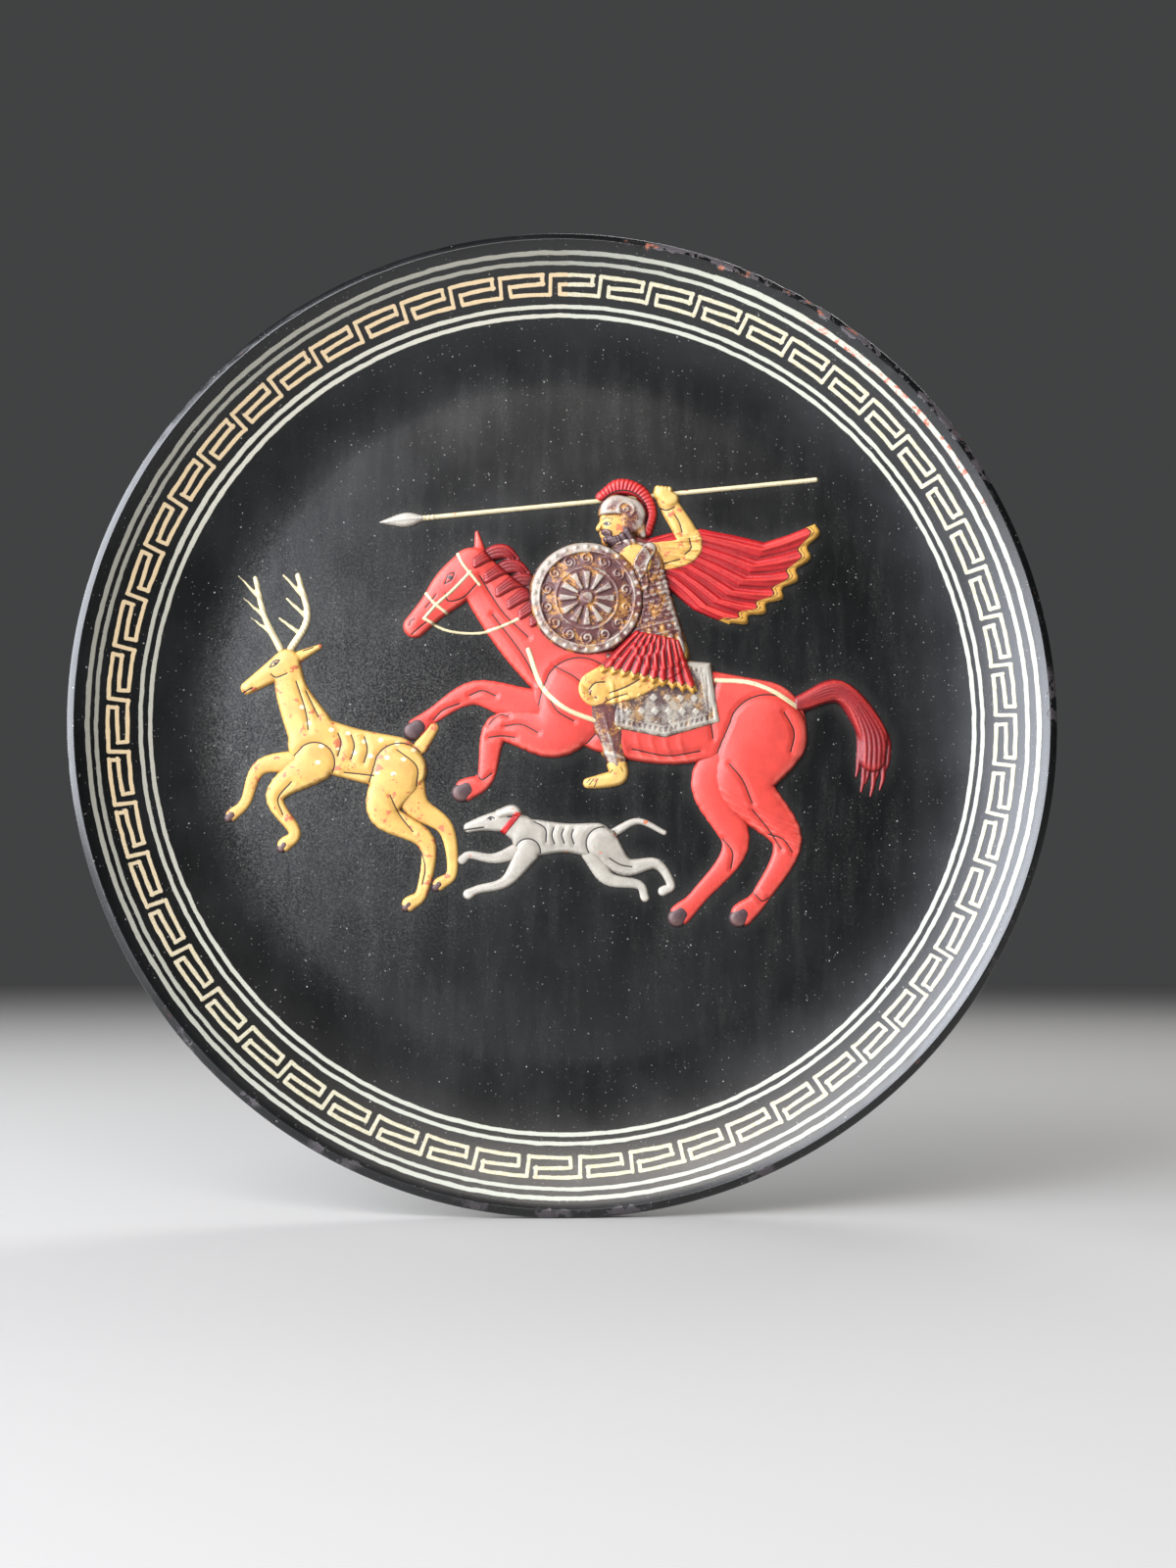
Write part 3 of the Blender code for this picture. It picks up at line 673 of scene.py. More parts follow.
def carved_mesh(name):
    """Quads over the cells that a mass covers, drawn down to a flat bottom and closed."""
    height, ink, trim = masses[name]
    covered = height > -SKIRT
    cells = covered[:-1, :-1] | covered[1:, :-1] | covered[:-1, 1:] | covered[1:, 1:]
    row, column = np.nonzero(cells)
    width = across.shape[1]
    first = row * width + column
    faces = np.stack([first, first + 1, first + width + 1, first + width], axis=-1)
    used, faces = np.unique(faces, return_inverse=True)
    points = place_points(across.ravel()[used], up.ravel()[used], (ground + height).ravel()[used])
    mesh = mesh_from_arrays(name, points, faces.reshape(-1, 4))
    layers = {"rise": height, "ink": ink, "trim": trim, "cavity": height - smoothed_surface}
    for key, values in layers.items():
        store(mesh, key, values.ravel()[used])
    close_underneath(mesh)
    return mesh


def close_underneath(mesh):
    """Draw the open edge down into the wall and fill it flat."""
    shape = bmesh.new()
    shape.from_mesh(mesh)
    rim = [edge for edge in shape.edges if edge.is_boundary]
    drawn_down = bmesh.ops.extrude_edge_only(shape, edges=rim)["geom"]
    for vertex in drawn_down:
        if isinstance(vertex, bmesh.types.BMVert):
            vertex.co.y = -BOTTOM_HEIGHT * MM
    bottom = [edge for edge in drawn_down if isinstance(edge, bmesh.types.BMEdge) and edge.is_boundary]
    bmesh.ops.triangle_fill(shape, edges=bottom, use_dissolve=False, use_beauty=False, normal=(0.0, 1.0, 0.0))
    bmesh.ops.recalc_face_normals(shape, faces=shape.faces)
    shape.to_mesh(mesh)
    shape.free()


# %% [markdown]
# ### The horse
#
# The horse carries the scene: coral red, galloping to the left. Barrel, neck and haunch
# melt softly, the near legs stand a little prouder and keep a drawn contour, and the far
# legs lie lower. Ribs, jaw, eye and nostril are shallow forms on top.

# %% Carve the horse
SKIN_BLUR = 0.7
RIBS = 5
RIB_PITCH = 4.4


def bump(x, z, radius, height):
    """A low round swelling: a bell curve of the distance from its middle."""
    return height * np.exp(-((across - x) ** 2 + (up - z) ** 2) / (2 * (radius / 2) ** 2))


def body(figure, soft, parts, contours=()):
    """Melt the named limbs in order, draw the contours of some of them, and even out the skin."""
    height, inside, ink = NOTHING, OUTSIDE, OUTSIDE
    for part in parts:
        raised, reach = limb(figure[part])
        if part in contours:
            ink = np.maximum(ink, contour(reach, inside))
        height = melt(height, raised, soft)
        inside = np.maximum(inside, reach)
    evened = blurred(np.maximum(height, 0.0), SKIN_BLUR)
    return height + ease(inside, 0.8, 2.5) * (evened - height), inside, ink


FAR_LEGS = ("far_hind_leg", "far_fore_leg")
NEAR_LEGS = ("near_hind_leg", "near_fore_leg")
horse_far, _, _ = body(HORSE, 0.6, FAR_LEGS)
horse, _, horse_ink = body(HORSE, 1.3, ("barrel", "neck", "head", "ear", *NEAR_LEGS), NEAR_LEGS)
HEAD_AXIS = HORSE["head"]
horse_eye = beside(HEAD_AXIS, 0.28, 2.3)
horse += bump(*beside(HEAD_AXIS, 0.16, -1.8), 6.5, 0.5)
horse += bump(*horse_eye, 1.8, 0.35)
horse += bump(*beside(HEAD_AXIS, 0.97, 0.6), 2.2, 0.35)
horse += bump(-1, 5, 13, 0.5) + bump(9, 14, 10, 0.35) + bump(62, 0, 14, 0.5) + bump(53, -13, 9, 0.35)
horse -= bump(40, 8, 9, 0.3) + bump(45, -10, 7, 0.3) + bump(8, -4, 6, 0.3)
for rib in range(RIBS):
    rib_line = across - 17.0 - RIB_PITCH * rib - 0.05 * (up + 6) ** 2
    horse += 0.22 * bell(rib_line, 0.9) * ease(-up, 2.0, 9.0)
horse_lines = drawn(on_axis(HEAD_AXIS, [
    [(0.10, -5.0), (0.34, -4.8), (0.5, -2.4), (0.46, 0.0)],
    [(0.20, 2.4), (0.27, 3.4), (0.38, 2.2)],
    [(0.20, 2.4), (0.29, 1.5), (0.38, 2.2)],
    [(0.94, 1.3), (0.99, 1.9), (1.04, 1.1)],
    [(1.10, -1.2), (0.98, -1.5), (0.86, -1.9)],
    [(0.55, 1.8), (0.75, 1.3)],
]))
muscle_lines = drawn([
    [(-23, 32), (-14, 20), (-9, 11)],
    [(-27, 44), (-20, 33), (-12, 25)],
    [(20, -9.5), (31, -11.5), (41, -10)],
    [(46, 11), (44, 3), (45, -6)],
    [(57, -28), (62, -34), (66, -40)],
    [(-16, -6), (-20, -5.5), (-24, -6)],
    [(-24, -2), (-21, 1), (-18, 0.5)],
    [(-22, 7), (-26, 8.5), (-30, 7)],
    [(2, -1), (-3, 2), (-6, 7)],
    [(-9, -4.5), (-14, -2), (-19, -2.5)],
    [(50, -14), (54, -19), (57, -26)],
    [(67, 2), (70, -4), (69, -10)],
    [(62, -35.5), (66.5, -37), (69.5, -41)],
    [(48, -37), (51, -41), (50.5, -46)],
    [(-33, 4.5), (-38, 2.5), (-41, -0.5)],
    [(57.5, -53.5), (60, -56), (62, -55)],
    [(-23, -17), (-26, -19), (-27.5, -17)],
    [(-4, 16), (3, 12), (8, 6)],
])
horse_lines = np.maximum(horse_lines, muscle_lines)
horse -= valley(np.maximum(horse_ink, muscle_lines))
horse_far -= valley(muscle_lines)
horse_far -= groove(horse_lines)
pupil = drawn([[horse_eye, (horse_eye[0] - 0.1, horse_eye[1])]], 0.62)
horse_ink = highest(horse_ink, horse_lines, pupil)
horse -= groove(horse_ink)
keep("horse_far_legs", horse_far, horse_lines)
keep("horse", horse, horse_ink)
print(f"horse rises {horse.max():.1f} mm")


# %% Hooves
def hooves(legs, lifts, heel, tip):
    """A short round form at each foot; heel and tip say how far past the toe and how wide."""
    height = NOTHING
    for leg, lift in zip(legs, lifts):
        fetlock, toe = np.array(leg[-2][:2]), np.array(leg[-1][:2])
        onward = (toe - fetlock) / np.hypot(*(toe - fetlock))
        ends = [(*(toe + past * onward), half_width, lift) for past, half_width in (heel, tip)]
        height = np.maximum(height, limb(ends)[0] + 0.12)
    return height


legs = [HORSE[leg] for leg in (*FAR_LEGS, *NEAR_LEGS)]
keep("horse_hooves", hooves(legs, (-0.2, -0.1, 0.12, 0.12), (-0.4, 2.9), (1.6, 3.1)))

# %% [markdown]
# ### Mane and tail
#
# Locks of hair are thin limbs laid side by side. Each lock of the mane is three strands
# that part towards the tip, and the tail is seven strands on a full core.

# %% Carve the mane and tail
MANE_LOCKS = 9
MANE_TOP = (-24.0, 51.0)
MANE_FOOT = (4.0, 29.0)
MANE_LOCK_LENGTH = 9.0
TAIL_ROOT = (72.0, 5.0)
TAIL_LENGTH = 34.0
STRANDS = 3
TAIL_REACHES = (0.66, 0.80, 0.72, 0.84, 0.70, 0.78, 0.62)


def strand(joints, under, gap, fullness, steps=7):
    """A strand that lies on what is under it, and never below its own height."""
    raised, reach = limb(joints, steps)
    lying = np.maximum(under, 0.0) + gap + fullness * np.sqrt(np.maximum(reach, 0.0))
    return np.maximum(raised, lying + 3.0 * np.minimum(reach, 0.0))


def mane():
    """Locks down the neck's crest, each swept back and split into strands that lie on the neck."""
    height = NOTHING
    long = MANE_LOCK_LENGTH
    for share in np.arange(MANE_LOCKS) / (MANE_LOCKS - 1):
        x, z = (MANE_TOP[k] + share * (MANE_FOOT[k] - MANE_TOP[k]) for k in (0, 1))
        z -= 5.0 * math.sin(math.pi * share)
        for number in range(STRANDS):
            part = number - (STRANDS - 1) / 2
            joints = [(x - 4.5, z - 3.0 - 0.9 * part, 0.8, 0.6),
                      (x + 0.1 * long, z + 0.6 - 1.2 * part, 1.15, 0.8),
                      (x + 0.6 * long, z + 0.1 * long - 1.2 * part, 1.0, 0.7),
                      (x + (1.0 - 0.1 * number) * long, z - 0.25 * long - 1.3 * part, 0.4, 0.3)]
            height = np.maximum(height, strand(joints, horse, 0.15, 0.7, 5))
    return height


def tail():
    """A tail that arches over and hangs, with strands lying on it that leave it at the tip."""
    x, z = TAIL_ROOT
    long = TAIL_LENGTH
    base, _ = limb([(x, z, 2.7, 0.7), (x + 0.38 * long, z + 4.0, 3.5, 0.5),
                    (x + 0.66 * long, z - 8.0, 4.6, 0.2), (x + 0.67 * long, z - 0.5 * long, 4.2, -0.2)])
    height = base
    for number, down in enumerate(TAIL_REACHES):
        spread = 2 * number / (len(TAIL_REACHES) - 1) - 1
        joints = [(x - 1.0, z + 1.7 * spread, 0.7, 0.7),
                  (x + 0.38 * long, z + 4.0 + 2.9 * spread, 0.8, 0.5),
                  (x + 0.66 * long + 4.0 * spread, z - 8.0, 0.95, 0.4),
                  (x + 0.68 * long + 4.6 * spread, z - 0.8 * down * long, 0.8, 0.2),
                  (x + 0.65 * long + 4.4 * spread, z - down * long, 0.3, 0.1)]
        height = np.maximum(height, strand(joints, base, 0.1, 0.65))
    return height


keep("horse_mane", mane())
keep("horse_tail", tail())

# %% [markdown]
# ### The rider's cloak
#
# The cloak streams out behind the rider. Every point of it has two numbers: how far it is
# from the shoulder, and which share of the fan it lies in, corrected by the wave that runs
# through the cloth. A cosine of the share makes five full folds, a finer one the creases
# between them, and the same share sets how far the scalloped hem reaches.

# %% Carve the cloak
CLOAK_ROOT = (23.0, 52.0)
CLOAK_FOLDS = 6
CLOAK_TOP_ANGLE = math.radians(4.0)
CLOAK_FAN = math.radians(40.0)
CLOAK_LENGTH = 54.0
CLOAK_SHORTENING = 17.0
CLOAK_SCALLOP = 2.4
CLOAK_BAND = 3.4
CLOAK_WAVE = ([0.0, 0.18, 0.35, 0.52, 0.7, 0.85, 1.0], [0, 0.7, 1, 0.4, -0.4, 0.1, 0.8])


def cloak():
    """Height of the cloth, its reach, and the distance from its hem."""
    x, z = across - CLOAK_ROOT[0], up - CLOAK_ROOT[1]
    away = np.maximum(np.hypot(x, z), 1.0)
    angle = CLOAK_TOP_ANGLE - np.arctan2(z, x)
    share = np.clip(angle / CLOAK_FAN, -0.5, 1.6)
    for _ in range(3):
        length = CLOAK_LENGTH - share * CLOAK_SHORTENING
        rise = (3.6 - 1.8 * share) * np.interp(away / length, *CLOAK_WAVE)
        share = (angle + rise / away - 4.0 * share / away * (1 - away / length)) / CLOAK_FAN
        share = np.clip(share, -0.5, 1.6)
    folds = math.tau * (CLOAK_FOLDS - 1) * share
    outward = np.clip(away / length, 0.0, 1.0)
    hem = length + 2.6 - CLOAK_SCALLOP * (0.5 - 0.5 * np.cos(folds)) - away
    spread = CLOAK_FAN * away
    slack = 1.9 + 1.2 * outward
    cloth = np.minimum(hem, np.minimum(share * spread + slack, (1.0 - share) * spread + slack))
    crest = (0.5 + 0.5 * np.cos(folds + 0.5 * np.sin(away / 6.0))) ** 0.8
    fine = 0.5 + 0.5 * np.cos(3 * folds + 1.5 * np.sin(away / 9.0) + 1.0)
    height = 1.1 + 1.5 * (0.35 + 0.45 * outward) * crest + 0.32 * fine * ease(away, 6.0, 16.0)
    height *= 1.0 - np.exp(-np.maximum(cloth, 0.0) / 0.45)
    return height + 2.5 * np.minimum(cloth, 0.0) - 6.0 * (x < -4.0), cloth, hem


cloak_height, cloak_cloth, cloak_hem = cloak()
hem_lines = np.maximum(INK - np.abs(cloak_hem - CLOAK_BAND), 0.14 - np.abs(cloak_hem - CLOAK_BAND + 1.0))
cloak_ink = np.minimum(hem_lines, cloak_cloth - 0.5)
keep("cloak", cloak_height, cloak_ink, ease(cloak_hem, CLOAK_BAND, CLOAK_BAND - 0.3))

# %% Carve the saddle cloth
SADDLE_CLOTH = [(12, 20), (44, 17), (47, -1), (30, -6), (14, -3)]
SADDLE_HEIGHT = 3.2
DIAMOND = 4.2
TRIANGLE = 1.6


def saw(values, pitch):
    """Distance from the middle of each repeat, as a share of the pitch."""
    return np.abs((values / pitch) % 1.0 - 0.5)


saddle_reach = polygon_reach(SADDLE_CLOTH)
saddle = over(NOTHING, saddle_reach, np.maximum(horse, SADDLE_HEIGHT), 0.45)
saddle += 0.22 * bell(saddle_reach - 1.2, 0.4) + 0.16 * bell(saddle_reach - 3.2, 0.3)
diamonds = saw(across + 0.12 * up, DIAMOND) + saw(up, DIAMOND)
saddle += 0.25 * ease(diamonds, 0.34, 0.24) * ease(saddle_reach, 3.6, 4.2)
triangles = saw(across, TRIANGLE) * TRIANGLE
saddle += 0.15 * ease(triangles, 0.5, 0.3) * ease(saddle_reach, 1.5, 1.8) * ease(saddle_reach, 3.0, 2.7)
keep("saddle_cloth", saddle)
print(f"saddle cloth rises {saddle.max():.1f} mm")

# %% [markdown]
# ### The rider
#
# The rider sits with the near leg over the saddle cloth and the far arm raised. Skin, hair,
# armour and cloth are masses of their own, because each has its own colour and its own
# surface. The face is a plain profile built from a few round forms.

# %% The shield's plain form
SHIELD_CENTRE = (6.0, 37.0)
SHIELD_RADIUS = 17.5
SHIELD_TOP = 5.2
SHIELD_RIM = 2.6
STUDS = 30
SCROLLS = 14
PETALS = 12

shield_x, shield_z = across - SHIELD_CENTRE[0], up - SHIELD_CENTRE[1]
shield_r = np.hypot(shield_x, shield_z)
shield_a = np.arctan2(shield_z, shield_x)
inner = SHIELD_RADIUS - SHIELD_RIM
key_radius = np.array([0.0, 2.6, 0.6 * inner, 0.94 * inner, inner, SHIELD_RADIUS - 0.7, SHIELD_RADIUS])
key_height = np.array([0.0, 0.0, -0.35, -1.2, -0.5, -0.8, -1.9]) + SHIELD_TOP
shield = np.interp(shield_r, key_radius, key_height) - 4.0 * np.maximum(shield_r - SHIELD_RADIUS, 0.0)
shield = np.maximum(shield, FAR_BELOW)


def behind_shield(height):
    """Keep what is behind the shield below its face."""
    return np.where(shield_r < SHIELD_RADIUS, np.minimum(height, shield - 0.5), height)


# %% Carve the skin and the face
far_arm, far_arm_reach = limb(RIDER["far_arm"])
arm_ink = drawn([[(36.5, 51.5), (38.5, 53.5), (38, 56.5)], [(33.5, 66.5), (31, 65.5), (29, 66.3)],
                 [(27, 47.6), (31, 48.8), (35, 50.0)], [(35.8, 58.5), (35.0, 61.5), (33.6, 64.0)]])
far_hand, hand_reach = limb([(32.2, 69.0, 2.6, 1.0), (29.4, 71.0, 2.3, 1.0)])
for finger in range(4):
    x, z = 28.4 + 1.15 * finger, 71.9 - 0.1 * finger
    far_hand = melt(far_hand, limb([(x, z + 0.6, 0.75, 1.5), (x + 0.3, z - 1.6, 0.7, 1.4)])[0], 0.2)
far_arm = melt(far_arm, far_hand, 0.6)
far_arm = over(far_arm, np.maximum(far_arm_reach, hand_reach), surface, 0.5)
far_arm -= groove(arm_ink) + 0.6 * valley(arm_ink)

face = limb([(18, 54, 4.0, 0.8), (15.6, 60.5, 4.8, 0.9)])[0]
profile_forms = [
    [(12.2, 63.0, 1.9, 0.9), (11.6, 61.6, 1.2, 0.9)],
    [(11.2, 61.9, 0.8, 0.9), (9.9, 59.8, 0.75, 0.9)],
    [(11.6, 58.6, 1.0, 0.9), (10.9, 58.2, 0.7, 0.9)],
    [(11.8, 57.1, 0.9, 0.9), (11.1, 57.3, 0.6, 0.9)],
    [(12.4, 55.9, 1.5, 0.9), (15.5, 56.2, 2.0, 0.9)],
]
for form in profile_forms:
    face = melt(face, limb(form, 4)[0], 0.7)
face += bump(12.6, 59.0, 2.4, 0.2)
face_ink = drawn([
    [(11.2, 60.9), (12.2, 61.4), (13.6, 60.8)],
    [(11.3, 60.7), (12.3, 60.3), (13.6, 60.8)],
    [(10.9, 62.2), (12.3, 62.8), (14.1, 62.2)],
    [(10.5, 57.9), (11.4, 57.8), (12.2, 58.0)],
    [(10.4, 59.3), (10.9, 59.2)],
], 0.15)
face_ink = np.maximum(face_ink, drawn([[(12.1, 60.85), (12.2, 60.75)]], 0.42))
eye_white = ease(((across - 12.4) / 1.1) ** 2 + ((up - 60.8) / 0.5) ** 2, 1.1, 0.9)

thigh, thigh_reach = limb(RIDER["thigh"])
foot, _ = limb([(15.5, -14, 3.0, 0.9), (15.9, -17.6, 2.6, 0.6), (10.5, -19.2, 2.2, 0.3),
                (6.6, -19.8, 1.7, 0.2)])
thigh_ink = drawn([[(26, 14.5), (19, 10), (13, 7.6)], [(11.5, 11), (8.5, 10.6), (6.6, 8.6)],
                   [(12.2, 5.2), (15.0, 6.4), (18.4, 7.4)]])
foot_ink = drawn([[(8.2, -18.5), (6.9, -20.4)], [(9.4, -18.6), (8.4, -21.0)], [(7.2, -18.6), (5.9, -19.8)],
                  [(14.0, -15.8), (13.2, -16.8)], [(17.2, -16.4), (16.4, -15.0)]], 0.15)
thigh = over(thigh, thigh_reach, surface, 0.6) - groove(thigh_ink) - 0.6 * valley(thigh_ink)
keep("far_arm", far_arm, arm_ink)
keep("face", face, face_ink, eye_white)
keep("thigh", thigh, thigh_ink)
keep("foot", foot, foot_ink)

# %% Curls of the hair and beard
CURL = 0.9
hair_spots = [(18.6 + 0.55 * i, 58.6 - 0.95 * i) for i in range(6)]
hair_spots += [(17.2 + 0.6 * i, 57.0 - 0.9 * i) for i in range(4)]
beard_spots = [(17.6 - 0.95 * i, 57.3 - 0.55 * i + 0.06 * i * i) for i in range(7)]
beard_spots += [(16.0 - 0.9 * i, 55.6 - 0.2 * i) for i in range(4)]
beard_spots += [(11.3, 58.55), (12.2, 58.3), (13.0, 57.9)]
hair = NOTHING
for spots, size in ((hair_spots, 1.25), (beard_spots, 0.85)):
    for x, z in spots:
        curl = [(x, z, size, 0.6), (x + 0.3 * size, z - 0.9 * size, 0.75 * size, 0.5)]
        hair = np.maximum(hair, strand(curl, face, 0.1, CURL, 3))
keep("hair", hair)

# %% [markdown]
# ### Armour
#
# The armour was painted like old bronze: a dark purple-brown wash, rubbed with gold and
# pale grey on whatever stands out. So its ornament has to be real relief: the scales of the
# cuirass, the ribs of the plume, the studs and scrolls of the shield.

# %% Carve the cuirass and the helmet
SCALE_WIDTH = 2.3
SCALE_ROW = 1.7


def scales(x, z):
    """Overlapping round scales: in each cell the height falls with the distance from its middle."""
    row = np.floor(z / SCALE_ROW)
    shifted = x / SCALE_WIDTH + 0.5 * (row % 2)
    side = (shifted - np.floor(shifted) - 0.5) * SCALE_WIDTH
    down = (z / SCALE_ROW - row) * SCALE_ROW
    distance = np.hypot(side, down - SCALE_ROW)
    return ease(distance, 1.25, 0.75) * (0.6 + 0.4 * (1.0 - down / SCALE_ROW))


torso, torso_reach = limb(RIDER["torso"])
torso = over(torso, torso_reach, surface, 0.4)
lean = math.radians(16.0)
torso_x = (across - 24.0) * math.cos(lean) + (up - 36.0) * math.sin(lean)
torso_z = -(across - 24.0) * math.sin(lean) + (up - 36.0) * math.cos(lean)
scaled = ease(torso_z, 11.0, 10.0) * ease(torso_z, -7.6, -6.8) * (1 - np.exp(-((torso_z - 3.0) / 1.3) ** 4))
torso += 0.42 * scaled * (scales(torso_x, torso_z) - 0.5)
for belt, width in ((-7.6, 0.5), (-10.6, 0.5), (1.6, 0.4), (4.4, 0.4)):
    torso += 0.35 * bell(torso_z - belt, width)
for row, pitch in ((-9.1, 2.1), (3.0, 2.3)):
    turn = (torso_x / pitch) % 1.0 - 0.5
    torso += 0.5 * np.exp(-((turn * pitch) ** 2 + (torso_z - row) ** 2) / 0.4)
torso += 0.3 * np.cos(torso_x * math.tau / 2.4) * ease(torso_z, -11.4, -12.0)
torso = behind_shield(torso)
upper_arm, upper_arm_reach = limb(RIDER["upper_arm"])
arm = behind_shield(over(upper_arm, upper_arm_reach, torso, 0.5))
strap, strap_reach = limb([(25.5, 53.0, 2.1, 2.5), (22.5, 47.5, 2.3, 2.9), (23.0, 41.5, 2.2, 2.6)])
strap = over(strap, strap_reach, np.maximum(torso, arm), 0.4)
strap += 0.25 * bell(strap_reach - 0.35, 0.3)
strap += 0.4 * np.exp(-(((across - 22.8) ** 2 + (up - 43.0) ** 2) / 0.7))
keep("cuirass", np.maximum(torso, strap))
keep("upper_arm", arm)

helmet = NOTHING
brow_band = [(11.9, 64.9, 1.5, 1.4), (17.0, 63.0, 1.6, 1.9)]
neck_guard = [(22.0, 61.0, 2.6, 1.3), (23.6, 57.6, 1.2, 1.2)]
for form in (RIDER["helmet"], brow_band, neck_guard):
    helmet = melt(helmet, limb(form)[0], 0.5)
helmet -= 6.0 * (ease(across, 17.4, 16.2) * ease(up, 63.9, 63.1))
helmet = np.maximum(helmet, limb([(17.2, 62.0, 1.9, 1.7), (15.6, 58.6, 1.3, 1.6)])[0])
from_temple = np.hypot(across - 18.2, up - 65.2)
helmet += 0.3 * bell(from_temple - 2.4, 0.5)
helmet += 0.25 * bell(from_temple - 0.6, 0.5)
helmet += 0.25 * bell(up - 64.3 - 0.12 * (across - 12), 0.35) * ease(across, 18.5, 16.5)
keep("helmet", helmet)

# %% Carve the crest and the greave
HELMET_CENTRE = (17.5, 64.0)
CREST_ARC_RADIUS = 9.0
CREST_START = math.radians(140.0)
CREST_SWEEP = math.radians(-175.0)
CREST_POINTS = 5
CREST_HALF_WIDTH = 2.7
CREST_HAIRS = 46


def crest_joints():
    """An arc over the crown from the brow to the nape, widest behind the crown."""
    joints = []
    for share in np.linspace(0.0, 1.0, CREST_POINTS):
        angle = CREST_START + share * CREST_SWEEP
        width = CREST_HALF_WIDTH * (0.6 + 0.4 * math.sin(math.pi * min(1.6 * share, 1.0)))
        joints.append((HELMET_CENTRE[0] + CREST_ARC_RADIUS * math.cos(angle),
                       HELMET_CENTRE[1] + CREST_ARC_RADIUS * math.sin(angle), width, 0.6))
    return joints


crest, crest_inside = limb(crest_joints())
crest_x, crest_z = across - HELMET_CENTRE[0], up - HELMET_CENTRE[1]
crest_radius = np.hypot(crest_x, crest_z)
hairs = np.cos(np.arctan2(crest_z, crest_x) * CREST_HAIRS + 0.8 * crest_radius)
crest += 0.13 * hairs * ease(crest_radius, 7.4, 8.2)
keep("crest", crest, np.minimum(INK - np.abs(crest_radius - 7.6), crest_inside - 0.3))

greave, _ = limb([(9, 8, 5.2, 2.5), (13, -3, 4.8, 2.1), (15.4, -12.6, 3.1, 0.9)])
from_knee = np.hypot(across - 9.3, up - 6.6)
greave += 0.3 * bell(from_knee - 2.6, 0.5)
greave += 0.3 * bell(from_knee - 0.7, 0.5)
greave += 0.35 * bell(up + 11.6 + 0.2 * (across - 15), 0.5)
greave += 0.22 * bell(across - 12.2 + 0.26 * (up + 3), 0.5) * ease(-up, -3.0, 0.0)
keep("greave", greave)

# %% Carve the skirt
SKIRT_WAIST = np.array([(21.0, 25.0), (34.0, 24.0)])
SKIRT_HEM = np.array([(12.0, 14.5), (38.0, 11.5)])
SKIRT_PLEATS = 9
SKIRT_LIFT = 3.8


def skirt():
    """Pleats across the skirt: the share from edge to edge at each share from waist to hem."""
    middle_waist, middle_hem = SKIRT_WAIST.mean(axis=0), SKIRT_HEM.mean(axis=0)
    drop = middle_hem - middle_waist
    length = np.hypot(*drop)
    down = ((across - middle_waist[0]) * drop[0] + (up - middle_waist[1]) * drop[1]) / length ** 2
    (left_x, left_z), (right_x, right_z) = (
        [SKIRT_WAIST[side, k] + down * (SKIRT_HEM[side, k] - SKIRT_WAIST[side, k]) for k in (0, 1)]
        for side in (0, 1))
    step_x, step_z = right_x - left_x, right_z - left_z
    width = np.maximum(np.hypot(step_x, step_z), 4.0)
    side = ((across - left_x) * step_x + (up - left_z) * step_z) / width ** 2
    pleat = math.tau * SKIRT_PLEATS * side
    hem = (1.16 + 0.05 * np.cos(pleat) - down) * length
    reach = np.minimum.reduce([(side + 0.08) * width, (1.07 - side) * width, (down + 0.1) * length, hem])
    fold = 0.8 * (0.5 + 0.5 * np.cos(pleat + 0.6 * np.sin(3.0 * down))) ** 0.7
    height = over(NOTHING, reach, np.maximum(surface, SKIRT_LIFT), 0.5)
    between = saw(pleat, math.tau) * width / SKIRT_PLEATS
    lines = np.minimum(0.16 - np.minimum(between, np.abs(hem - 1.7)), reach - 0.4)
    return height + fold * ease(reach, 0.0, 0.8), lines, ease(hem, 1.7, 1.5)


keep("skirt", *skirt())

# %% [markdown]
# ### The shield
#
# The round shield is the highest mass. Its height depends mostly on the distance from its
# own centre: a rim with studs, a band of running scrolls, and a rosette of petals on a low
# dome. Petals and studs repeat with the angle, so a cosine of a whole number of turns
# places them.

# %% Carve the shield
def ring_of_dots(count, radius, size, height, phase=0.0):
    """Round dots at equal angles on a ring, each a bell curve of the distance from its middle."""
    turn = (shield_a / math.tau * count + phase) % 1.0 - 0.5
    arc = turn * math.tau * radius / count
    return height * np.exp(-((arc ** 2 + (shield_r - radius) ** 2) / (size ** 2)))


def running_scrolls(count, radius, size, height):
    """Spirals side by side: ridges where the distance from the middle keeps step with the turn."""
    turn = (shield_a / math.tau * count) % 1.0 - 0.5
    arc, out = turn * math.tau * radius / count, shield_r - radius
    distance = np.hypot(arc, out)
    ridge = 0.5 + 0.5 * np.cos(math.tau * distance / (0.62 * size) - np.arctan2(out, arc))
    return height * ridge * ease(distance, size, 0.8 * size)


shield += ring_of_dots(STUDS, SHIELD_RADIUS - 1.25, 0.62, 0.55)
shield += running_scrolls(SCROLLS, 12.4, 2.1, 0.5)
for ring in (9.6, 14.6):
    shield += 0.3 * bell(shield_r - ring, 0.32)
petal = np.cos(shield_a * PETALS) * 0.5 + 0.5
shield += 0.6 * ease(petal, 0.25, 0.7) * ease(shield_r, 8.9, 8.0) * ease(shield_r, 2.6, 3.4)
shield += 0.5 * ease(shield_r, 2.4, 1.4)
keep("shield", shield)
print(f"shield rises {shield.max():.1f} mm")

# %% Carve the spear
SPEAR_BUTT = np.array((78.0, 76.0))
SPEAR_TIP = np.array((-58.0, 61.0))
SPEAR_HALF_WIDTH = 0.9
SPEAR_HEAD_LENGTH = 13.0
SPEAR_HEAD_HALF_WIDTH = 2.3

